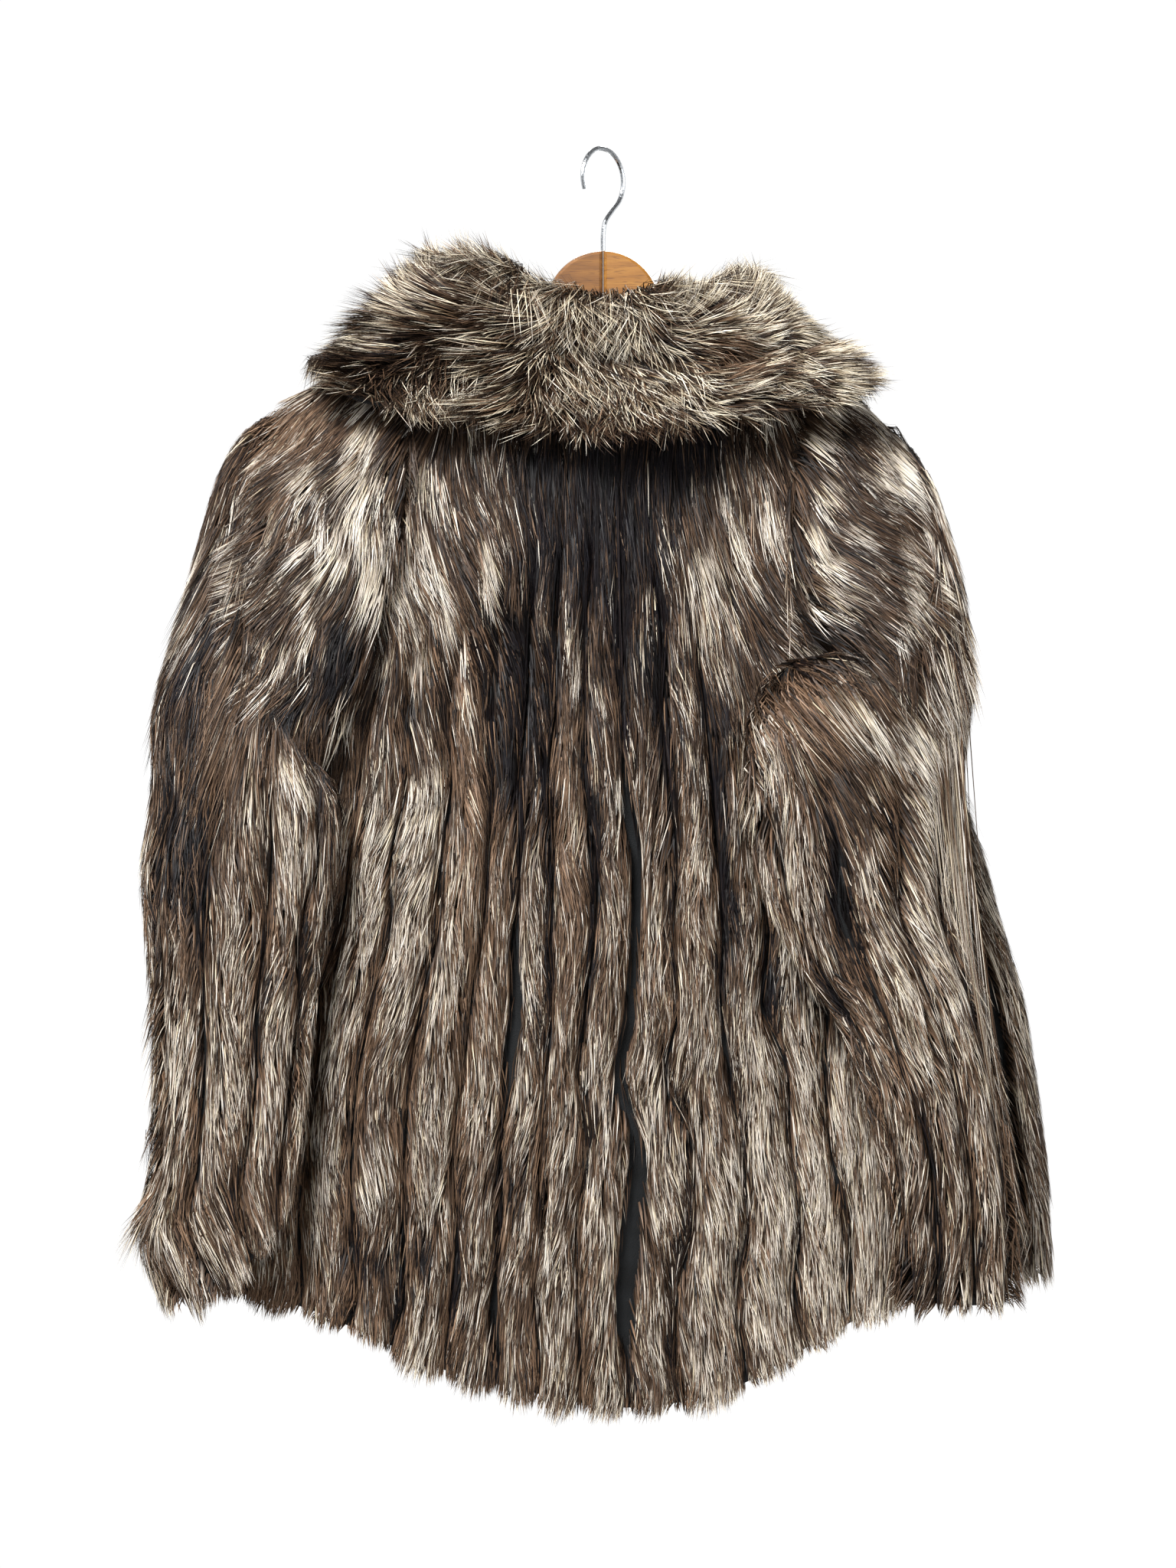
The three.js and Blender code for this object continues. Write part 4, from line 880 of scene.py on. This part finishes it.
def growFur(name, cloth, look, seed, batch):
    rng = np.random.default_rng([seed, batch])
    base, crest = cloth
    isTube, last, perStrip = look["tube"], base.shape[1] - 1, coat["perStrip"]
    middle = blend(base, crest, 0.6)
    downStep = np.linalg.norm(np.diff(middle, axis=0), axis=2)
    sideStep = np.linalg.norm(np.diff(middle, axis=1), axis=2)
    area = downStep[:, 1:] * sideStep[1:]
    weight = area * look["density"](middle[1:, 1:])
    if look["thinning"]:
        # a cape thins out towards its sides and its lower end
        down, aside = (np.linspace(0, 1, size) for size in area.shape)
        weight = weight * (1 - smoothStep(down, 0.55, 1.1))[:, None] * (np.sin(math.pi * aside) ** 0.7)
    weight = weight.ravel()
    count = look["count"] // 1
    cells = rng.choice(weight.size, count, p=weight / weight.sum())
    row = cells // area.shape[1] + rng.random(count)
    row = row - look["early"] * np.clip(1 - row / 8, 0, 1)
    column = cells % area.shape[1] + rng.random(count)
    root = gridValue(base, row, column, isTube)
    # each hair belongs to a strip, and none grows where a seam lies open
    strip = np.floor(column / perStrip)
    left, right = stripSides(strip, root[:, 2], look, seed)
    strip = strip - (column < left) + (column > right)
    left, right = stripSides(strip, root[:, 2], look, seed)
    part = (column - left) / (right - left)
    free = looseness(root, look)
    loose = rng.normal(0, 0.012, count) - 0.12 * (rng.random(count) < look["unruly"])
    low, high = stripLimits(strip, root[:, 2], free, look, seed)
    keep = (part > low + loose) & (part < high - loose)
    row, column, root, strip, part = row[keep], column[keep], root[keep], strip[keep], part[keep]
    free, loose = free[keep], loose[keep]
    count = len(row)
    alongRow, alongColumn = gridSlopes(middle, row, column, isTube)
    out = unit(gridValue(crest - base, row, column, isTube))
    isUnder = rng.random(count) < look["underShare"]
    # lengths in millimetres, cut short where the fur ends at a hem
    alike = together(root, look)
    length = np.where(isUnder, look["underLength"], look["length"]) * (0.7 + 0.5 * rng.random(count))
    length = length * blend(0.76, 1, alike)
    rowLength = np.maximum(np.linalg.norm(alongRow, axis=1), 1.5)
    columnLength = np.maximum(np.linalg.norm(alongColumn, axis=1), 0.8)
    hump = stripHump(part) if look["strips"] else 1
    uneven = fieldNoise(strip * 77, 0 * row, 1.0, seed + 9)
    past = look["past"] * (0.25 + 0.75 * rng.random(count)) * hump + look["pastUneven"] * (uneven - 0.5)
    length = np.minimum(length, np.maximum((base.shape[0] - 1 - row) * rowLength + past, 8))
    # locks: the tips of neighbours draw together and share a lean and a tone
    lockA = np.floor(column * columnLength / look["lockWide"] + rng.normal(0, 0.12, count))
    phase = 2.2 * fieldNoise(lockA * look["lockWide"], row * rowLength, 34, seed + 12)
    lockB = row * rowLength / look["lockLong"] + phase + rng.normal(0, 0.06, count)
    inLock = lockB - np.floor(lockB)
    code = (lockA * 7919 + np.floor(lockB) * 104729).astype(np.int64) % furCut["lockKinds"]
    lock = np.random.default_rng(seed + 5).random((furCut["lockKinds"], 4))[code]
    lockCentre = (lockA + 0.5 + 0.7 * (lock[:, 0] - 0.5)) * look["lockWide"]
    pull = np.where(isUnder, 0.2, look["clump"]) * (lockCentre - column * columnLength)
    swirl = (fieldNoise(root[:, 0], root[:, 2], look["swirlSize"], seed + 1) - 0.5) * look["swirl"]
    lean = swirl + (lock[:, 1] - 0.5) * look["lockLean"] + rng.normal(0, look["stray"], count)
    combed, share = look["comb"](root)
    share = share * (1 - smoothStep(np.abs(out[:, 2]), 0.75, 0.98))
    direction = unit(blend(unit(alongRow), combed, share[:, None]))
    rowStep, columnStep = gridSteps(alongRow, alongColumn, direction)
    rowSide, columnSide = gridSteps(alongRow, alongColumn, unit(np.cross(direction, out)))
    valley = np.exp(-((root[:, 2] - smoothValue(look["valley"], "x", "z", root[:, 0])) / 9) ** 2)
    bump = fieldNoise(root[:, 0] + root[:, 1], root[:, 2], look["lumpSize"], seed + 4) - 0.5
    lift = np.where(isUnder, 0.74, 1.0) * (0.86 + 0.2 * lock[:, 2] + look["lumps"] * bump
                                           - 0.6 * valley * (root[:, 1] < 0)
                                           + rng.normal(0, 0.05, count))
    tuft = look["tufts"] * (lock[:, 2] > 0.93)
    bulge = sum(reach * np.exp(-((root[:, 0] - x) / wide) ** 2 - ((root[:, 2] - z) / tall) ** 2)
                for x, z, wide, tall, reach in zip(*look["bulges"].values()))
    centres = np.empty((count, 3, 3))
    for index, step in enumerate(furCut["steps"]):
        sideways = length * lean * step ** 1.2
        nowRow = row + length * step * rowStep + sideways * rowSide
        nowColumn = column + length * step * columnStep + sideways * columnSide \
            + pull * step ** 1.4 / columnLength
        if look["strips"]:
            z = root[:, 2] + direction[:, 2] * length * step
            left, right = stripSides(strip, z, look, seed)
            low, high = stripLimits(strip, z, free, look, seed)
            part = np.clip((nowColumn - left) / (right - left), low + loose, high - loose)
            nowColumn = left + part * (right - left)
        if not isTube:
            nowColumn = np.clip(nowColumn, -furCut["beyond"], last + furCut["beyond"])
        nowRow = np.maximum(nowRow, -2)
        ground = gridValue(base, nowRow, nowColumn, isTube)
        height = gridValue(crest, nowRow, nowColumn, isTube) - ground
        rise = look["rise"][index] * lift
        if look["strips"]:
            rise = rise * blend(stripHump(part), 0.95, 0.9 * free)
        rise = rise + (bulge / coat["crest"] + tuft) * step ** 1.5
        centres[:, index] = ground + height * rise[:, None]
    over = np.maximum(centres[:, :, 1] - furCut["foremost"] + furCut["softening"], 0)
    centres[:, :, 1] += furCut["softening"] * (1 - np.exp(-over / furCut["softening"])) - over
    tangent = np.stack([centres[:, 1] - centres[:, 0], centres[:, 2] - centres[:, 1],
                        centres[:, 2] - centres[:, 1]], axis=1)
    roll = rng.normal(0, look["roll"], (count, 1, 1))
    # blades face as the strip's rounded surface does: outwards, and aslant at its sides
    aslant = unit(alongColumn) * (look["tilt"] * (1 - free) * (part - 0.5))[:, None]
    facing = unit(out + aslant)[:, None, :]
    flatSide = unit(np.cross(tangent, facing))
    sides = flatSide * np.cos(roll) + facing * np.sin(roll)
    wide = np.where(isUnder, look["underWidth"], look["width"]) * (0.7 + 0.6 * rng.random(count))
    widths = wide[:, None] * np.array(furCut["widths"])
    edge = (1 - free) * smoothStep(np.abs(part - 0.5) * 2, 0.5, 1) if look["strips"] else 0 * row
    seen = blend(centres[:, 1], centres[:, 2], 0.4)
    tones = furTone(seen, strip, edge, lock[:, 3], rng, isUnder, look, seed)
    # a lock's hairs start one below another and turn pale together near its end
    inLock = blend(rng.random(count), inLock, blend(0.35, 1, alike))
    bands = 0.45 * inLock[:, None] + 0.55 * np.array(furCut["steps"])
    return makeHairMesh(name, centres, sides, widths, tones, bands)


bodyPatches = {  # soft ovals: the share of pale hairs there, and that of plain brown ones
    # painted shade in some ovals: the first paints the collar's shadow; the second darkens the dark upper
    # centre, partly as painted shade below the collar; the thin ones at x 90 to 136 paint the shade along the
    # right sleeve's inner edge; the one at (-212, -428) paints the left armpit's shade; the last paints the
    # shade above the right elbow
    "x": (30, 0, -70, 45, -140, -112, 95, 60, 165, -20, 0, -150, 95, 190, -100, 0, -30, 60,
          180, 230, 130, 250, -205, 94, 90, 104, 136, -275, -205, -212, 175),
    "z": (-245, -320, -420, -440, -350, -500, -370, -600, -300, -540, -680, -560, -470, -270, -620,
          -860, -560, -560, -840, -780, -900, -860, -250, -450, -520, -600, -670, -915, -938,
          -428, -396),
    "wide": (190, 100, 46, 46, 40, 20, 34, 40, 50, 30, 40, 40, 28, 40, 14, 60, 12, 30, 70, 40, 50,
             50, 40, 11, 10, 12, 14, 66, 40, 26, 45),
    "tall": (44, 90, 190, 150, 80, 110, 70, 60, 50, 130, 70, 100, 60, 40, 120, 90, 90, 60, 120, 100,
             60, 60, 30, 36, 50, 50, 40, 20, 14, 20, 20),
    "pale": (0.0, 0.0, 0.02, 0.04, 0.9, 0.45, 0.36, 0.35, 0.28, 0.08, 0.25, 0.8, 0.45, 0.2, 0.5,
             0.4, 0.2, 0.5, 0.97, 0.95, 0.9, 0.85, 0.3, 0.0, 0.0, 0.0, 0.05, 0.1, 0.15, 0.0, 0.08),
    "brown": (0.0, 0.0, 0.0, 0.0, 0.1, 0.75, 0.1, 0.4, 0.3, 0.1, 0.2, 0.1, 0.3, 0.4, 0.8, 0.1, 0.9,
              0.3, 0.1, 0.1, 0.1, 0.1, 0.6, 0.0, 0.0, 0.0, 0.0, 0.9, 0.8, 0.0, 0.0),
    "share": (0.97, 0.97, 0.92, 0.9, 0.9, 0.7, 0.8, 0.5, 0.7, 0.8, 0.6, 0.6, 0.5, 0.6, 0.7, 0.5, 0.7,
              0.4, 0.9, 0.8, 0.7, 0.7, 0.7, 0.95, 0.95, 0.95, 0.9, 0.9, 0.8, 0.95, 0.7),
}
sleevePatches = {
    # painted shade in some ovals: the one at (188, -590) paints the hollow beside the right elbow; the thin
    # ones at x -205 paint the shade along the left sleeve's inner edge; those at (-214, -424) and (-246,
    # -456) the left armpit's fold; the last, at (175, -396), the shade above the right elbow
    "x": (-250, -262, -300, -305, -330, -285, -240, -260, 152, 188, 140, 250, 275, 280, 215, 250,
          300, 322, -205, -205, 294, -214, -246, 175),
    "z": (-222, -275, -320, -450, -560, -470, -380, -740, -452, -590, -560, -420, -330, -520, -760,
          -660, -780, -640, -400, -520, -560, -424, -456, -396),
    "wide": (36, 30, 26, 50, 40, 30, 30, 60, 34, 19, 20, 30, 26, 30, 24, 30, 30, 12, 16, 12,
             9, 26, 26, 45),
    "tall": (26, 36, 40, 50, 90, 60, 50, 120, 34, 90, 90, 50, 60, 100, 60, 100, 100, 200, 50, 60,
             90, 20, 18, 20),
    "pale": (0.3, 0.4, 0.5, 0.04, 0.02, 0.25, 0.05, 0.55, 0.02, 0.0, 0.9, 0.1, 0.45, 0.97, 0.65,
             0.95, 0.75, 0.15, 0.0, 0.05, 0.1, 0.0, 0.0, 0.08),
    "brown": (0.9, 0.35, 0.1, 0.2, 0.15, 0.6, 0.1, 0.2, 1.0, 0.0, 0.15, 0.1, 0.2, 0.05, 0.3, 0.05,
              0.2, 0.3, 0.0, 0.0, 0.2, 0.0, 0.0, 0.0),
    "share": (0.9, 0.7, 0.7, 0.95, 0.97, 0.6, 0.85, 0.5, 1.0, 0.97, 0.9, 0.8, 0.6, 0.9, 0.7, 0.85,
              0.8, 0.9, 0.95, 0.85, 0.9, 0.95, 0.95, 0.7),
}
collarPatches = {
    # the last two ovals darken the collar's lower edge: partly its own dark hair, partly painted shade over
    # the shadow below
    "x": (-170, -110, -40, 40, 112, 0, 60, -60, 130, 120, -20, 140),
    "z": (-170, -110, -150, -150, -180, -195, -210, -205, -120, -205, -232, -216),
    "wide": (60, 40, 30, 40, 24, 60, 90, 60, 60, 60, 130, 50),
    "tall": (50, 30, 30, 30, 18, 26, 14, 20, 20, 20, 11, 9),
    "pale": (0.06, 0.3, 0.5, 0.5, 0.15, 0.6, 0.7, 0.35, 0.9, 0.8, 0.05, 0.1),
    "brown": (0.1, 0.1, 0.1, 0.1, 0.95, 0.1, 0, 0.2, 0, 0, 0.1, 0.1),
    "share": (0.95, 0.7, 0.5, 0.5, 0.95, 0.5, 0.6, 0.6, 0.8, 0.6, 0.9, 0.85),
}


def furTone(points, strip, edge, lock, rng, isUnder, look, seed):
    # kind of each hair: pale ones among dark ones by a share that changes over the coat,
    # plain brown where the guard hair is thin, browner at a strip's sides, and darker there as painted shade
    x, z = points[:, 0], points[:, 2]
    broad = fieldNoise(x, z, 60, seed + 2) - 0.5
    fine = fieldNoise(x * 2.4, z, 30, seed + 3) - 0.5
    ownTone = fieldNoise(strip * 71, z, 130, seed + 6) - 0.5
    alike = together(points, look)
    pale = look["pale"] + 0.08 * (1 - alike) + 0.5 * broad + 0.3 * fine + 0.4 * ownTone
    brown = smoothStep(fieldNoise(strip * 97, z, 90, seed + 10), 0.34, 0.7) * edge * look["brownSides"]
    for px, pz, wide, tall, toPale, toBrown, share in zip(*look["patches"].values()):
        near = np.exp(-((x - px) / wide) ** 2 - ((z - pz) / tall) ** 2) * share
        pale, brown = blend(pale, toPale, near), blend(brown, toBrown, near)
    # painted shade: fewer pale hairs towards a strip's sides, where its groove lies
    pale = np.clip(pale - 0.28 * edge, 0, 0.95)
    # whole locks turn pale or stay dark, with a few hairs of the other kind in each
    bright = smoothStep(lock, 0.82 - pale, 1.18 - pale) * smoothStep(pale, 0, 0.1)
    bright = blend(pale, bright, blend(0.3, 1, alike))
    isPale = rng.random(len(z)) < 0.03 * smoothStep(pale, 0.02, 0.1) + blend(0.94, 0.87, alike) * bright
    isBlackPaintedSheen = rng.random(len(z)) < 0.06 + 0.8 * (1 - smoothStep(pale, 0.02, 0.12))
    # painted shade: the brown hairs drawn darker towards a strip's sides
    brownish = blend(0.22, 0.15, alike) + 0.27 * rng.random(len(z)) ** 1.4 * (1 - 0.6 * edge)
    dark = np.where(isBlackPaintedSheen, 0.01 + 0.07 * rng.random(len(z)), brownish)
    tone = np.where(isPale, 0.77 + 0.21 * rng.random(len(z)) ** look["creamier"], dark)
    wool = 0.04 + (0.42 - 0.24 * alike) * smoothStep(pale, 0, 0.4) + 0.12 * rng.random(len(z))
    isBrown = rng.random(len(z)) < brown
    tone = np.where(isUnder, wool, tone)
    tone = np.where(isBrown, 0.36 + 0.24 * rng.random(len(z)), tone)
    # painted shade: down in the grooves between strips a share of the hairs is drawn dark
    isGrooveShade = rng.random(len(z)) < 0.4 * smoothStep(edge, 0.7, 1)
    return np.where(isGrooveShade, 0.02 + 0.14 * rng.random(len(z)), tone)


def backDensity(points):
    return 1 + 0 * points[..., 0]


def sleeveDensity(points):
    # fuller on the side that the photograph shows
    upper = points[..., 2] > -330
    return np.where((points[..., 1] < -55) | upper, 1.0, 0.45) * np.where(points[..., 2] > -450, 1.25, 1.0)


combing = {  # which way the hair points round the shoulders and elbow, by place on the seen side
    "x": (-340, -290, -240, -150, 0, 150, 240, 290, 340, -180, -240, -290, -340, -250,
          -300, -230, -345, -260, -126, -150, -110, -100, -40, 0, 40, 90, 140, 110,
          190, 190, 190, 240, 290, 315, 250, 250, 315, 180, 125, 185, 205),
    "z": (-860, -860, -860, -900, -940, -900, -860, -860, -860, -215, -225, -270, -350, -300,
          -380, -380, -460, -460, -270, -310, -360, -430, -280, -350, -300, -280, -330, -400,
          -300, -370, -215, -240, -300, -380, -340, -420, -460, -420, -500, -480, -540),
    "right": (-0.05, -0.05, -0.02, -0.02, 0, 0.02, 0.04, 0.06, 0.08, -0.8, -0.6, -0.5, -0.3, -0.6,
              -0.55, -0.5, -0.12, -0.25, 0.35, 0.5, 0.35, 0.15, 0.1, 0, 0.05, 0.25, 0.5, 0.35,
              0.6, 0.6, 0.7, 0.5, 0.4, 0.2, 0.5, 0.4, 0.2, 0.6, -0.2, 0.6, 0.35),
    "up": (-1, -1, -1, -1, -1, -1, -1, -1, -1, -0.6, -0.8, -0.85, -0.95, -0.8,
           -0.85, -0.85, -1, -1, -0.95, -0.85, -0.95, -1, -1, -1, -1, -0.95, -0.85, -0.95,
           -0.8, -0.8, -0.7, -0.85, -0.9, -1, -0.85, -0.9, -1, -0.8, -1, -0.8, -0.95),
}


def combTowards(points, guides, reach):
    # mean of the guides' directions, each weighing by a bell of its distance
    right, up, total = 0, 0, 1e-9
    for x, z, toRight, toUp in zip(*guides.values()):
        near = np.exp(-((points[:, 0] - x) ** 2 + (points[:, 2] - z) ** 2) / reach ** 2)
        right, up, total = right + near * toRight, up + near * toUp, total + near
    return unit(np.stack([right / total, 0 * points[:, 0], up / total], axis=1)), total


def combCoat(points):
    direction, total = combTowards(points, combing, 45)
    fade = np.where(points[:, 0] > 150, smoothStep(points[:, 2], -600, -520),
                    smoothStep(points[:, 2], -500, -400))
    fade = np.maximum(fade, 0.8 * smoothStep(-points[:, 2], 720, 800))
    return direction, fade * smoothStep(total, 0.01, 0.2)


collarCombing = {  # which way the hair points on the collar's back, by place
    "x": (-225, -200, -130, -150, -90, -60, 0, 40, 110, 190, 60, 130, 190, -30),
    "z": (-165, -110, -90, -195, -160, -105, -160, -195, -190, -180, -125, -112, -135, -215),
    "right": (-0.3, -0.4, -0.3, -0.3, -0.5, -0.3, 0.1, 0.6, 0.85, 0.5, 0.3, 0.3, 0.6, -0.1),
    "up": (-0.9, 0.3, 0.9, -0.95, -0.8, 0.8, -1, -0.8, -0.5, -0.8, 0.7, 0.9, 0.1, -1),
}


def combCollar(points):
    direction, total = combTowards(points, collarCombing, 38)
    return direction, smoothStep(-points[:, 1], 0, 25) * smoothStep(total, 0.02, 0.3)


nowhere = {"x": (), "z": (), "wide": (), "tall": (), "reach": ()}
noValley = {"x": (-400, 400), "z": (900, 900)}
backLoose = {
    "x": (-210, -130, -60, 0, 40, 80, 140, 200),
    "z": (-360, -320, -250, -230, -250, -350, -450, -500),
}
bodyLook = {
    "count": 66000, "density": backDensity, "underShare": 0.2, "underLength": 27, "length": 50,
    "past": 17, "pastUneven": 20, "clump": 0.6, "lockWide": 9, "lockLong": 41, "swirl": 0.5,
    "swirlSize": 48, "lockLean": 0.26, "stray": 0.06, "lumps": 0.16, "lumpSize": 30, "roll": 0.45,
    "width": 1.0, "underWidth": 1.6, "rise": (0.04, 0.8, 1.0), "tufts": 0.25, "unruly": 0.04,
    "strips": True, "tube": False, "stripCount": 17, "wander": 0.55, "loose": backLoose,
    "comb": combCoat, "patches": bodyPatches, "pale": 0.34, "creamier": 2.5, "brownSides": 0.95,
    "valley": noValley, "tilt": 1.7, "thinning": False, "locksAlike": False, "early": 0,
    "openSeams": openSeams, "bulges": {"x": (180, 225, -240), "z": (-372, -380, -430),
                                       "wide": (45, 30, 20), "tall": (24, 24, 26), "reach": (42, 30, 8)},
}
frontLook = {**bodyLook, "count": 22000, "width": 1.5, "underWidth": 2.0, "stripCount": 8,
             "openSeams": nowhere, "bulges": nowhere}
sleeveLook = {**bodyLook, "count": 43000, "density": sleeveDensity, "patches": sleevePatches,
              "openSeams": nowhere, "tube": True, "stripCount": 10, "swirl": 0.6, "pale": 0.33,
              "early": 2,
              "loose": {"x": (-300, 300), "z": (-400, -430)},
              "bulges": {"x": (-366, 186, 158, 218, 296), "z": (-826, -590, -560, -560, -392),
                         "wide": (20, 13, 12, 14, 16), "tall": (18, 80, 80, 80, 14),
                         "reach": (52, -15, 8, 6, 24)}}
collarLook = {**bodyLook, "count": 52000, "comb": combCollar, "patches": collarPatches,
              "openSeams": nowhere, "strips": False, "wander": 0.0, "length": 25, "underLength": 18,
              "past": 28, "pastUneven": 0, "swirl": 1.6, "swirlSize": 30, "lockWide": 6,
              "lockLong": 17, "lockLean": 1.0, "clump": 1.1, "stray": 0.12, "lumps": 0.9,
              "lumpSize": 20, "locksAlike": True, "rise": (0.05, 0.66, 1.2), "tufts": 0.3,
              "pale": 0.5, "creamier": 0.4, "width": 0.85, "underWidth": 1.3,
              "bulges": {"x": (-228, 212), "z": (-172, -184), "wide": (30, 22), "tall": (26, 22),
                         "reach": (-22, -12)},
              "valley": {"x": (-130, -108, -65, 165, 185), "z": (0, -116, -152, -152, 0)}}
capeLook = {**sleeveLook, "count": 9000, "density": backDensity, "underShare": 0.1, "strips": False,
            "tube": False, "length": 46, "past": 60, "rise": (-0.4, 0.5, 0.8), "bulges": nowhere,
            "tilt": 0, "thinning": True, "early": 0, "swirl": 1.1, "swirlSize": 36, "lockLean": 0.5,
            "clump": 0.9, "lumps": 0.5, "pale": 0.34, "locksAlike": True}
pieces = {  # each panel laid flat, in metres, and its cut in square metres (a sleeve's is all round it)
    "back": {"slot": "fur_grey", "flat": (0.76, 0.88), "cut": 0.46,
             "furs": [("fur_back_a", bodyLook, 11, 1), ("fur_back_b", bodyLook, 11, 2)],
             "rests": ["pelt_front_left", "pelt_front_right", "hanger_left", "hanger_right"]},
    "front_left": {"slot": "fur_grey", "flat": (0.39, 0.83), "cut": 0.205,
                   "furs": [("fur_front_left", frontLook, 21, 1)], "rests": ["pelt_back", "hanger_left"]},
    "front_right": {"slot": "fur_grey", "flat": (0.39, 0.82), "cut": 0.21,
                    "furs": [("fur_front_right", frontLook, 22, 1)], "rests": ["pelt_back", "hanger_right"]},
    "sleeve_left": {"slot": "fur_brown", "flat": (0.53, 0.78), "cut": 0.175,
                    "furs": [("fur_sleeve_left", sleeveLook, 31, 1)],
                    "rests": ["pelt_back", "pelt_front_left"]},
    "sleeve_right": {"slot": "fur_brown", "flat": (0.56, 0.76), "cut": 0.185,
                     "furs": [("fur_sleeve_right", sleeveLook, 32, 1)],
                     "rests": ["pelt_back", "pelt_front_right"]},
    "collar": {"slot": "fur_cream", "flat": (1.12, 0.2), "cut": 0.13,
               "furs": [("fur_collar", collarLook, 41, 1)],
               "rests": ["pelt_back", "pelt_front_left", "pelt_front_right"]},
}
shells, furs = {}, {}
for node, (base, crest) in cloths.items():
    shells[node] = makeShell("pelt_" + node, base, crest, node.startswith("sleeve"))
    furs[node] = [growFur(name, (base, crest), *rest) for name, *rest in pieces[node]["furs"]]
    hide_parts(node)
    print("made", node, [3 * len(fur.data.polygons) // 2 for fur in furs[node]])
for side, seed in (("left", 51), ("right", 52)):
    furs["sleeve_" + side].append(growFur("fur_shoulder_" + side, capeCloth(capes[side]), capeLook, seed, 1))
for node, shell in shells.items():
    print(node, "half its surface", round(sum(face.area for face in shell.data.polygons) / 2, 4))
hairs = [fur for group in furs.values() for fur in group]
print("hair triangles", sum(3 * len(fur.data.polygons) // 2 for fur in hairs))

# Hanger and hook keep their solids
finishes = {
    # one beech in two copies: the left half's darker as painted shade, the right half's lighter as painted
    # light
    "hanger_left": makeBeechMaterial("lacqueredBeechShadedLeft", "#84581f", "#764b19", "#5f3a11"),
    "hanger_right": makeBeechMaterial("lacqueredBeechLitRight", "#996a2a", "#8c5d22", "#744917"),
    "hook": makeSteelMaterial(),
}
for node, material in finishes.items():
    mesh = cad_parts[node].data
    mesh.materials.clear()
    mesh.materials.append(material)
print("hanger and hook finished")
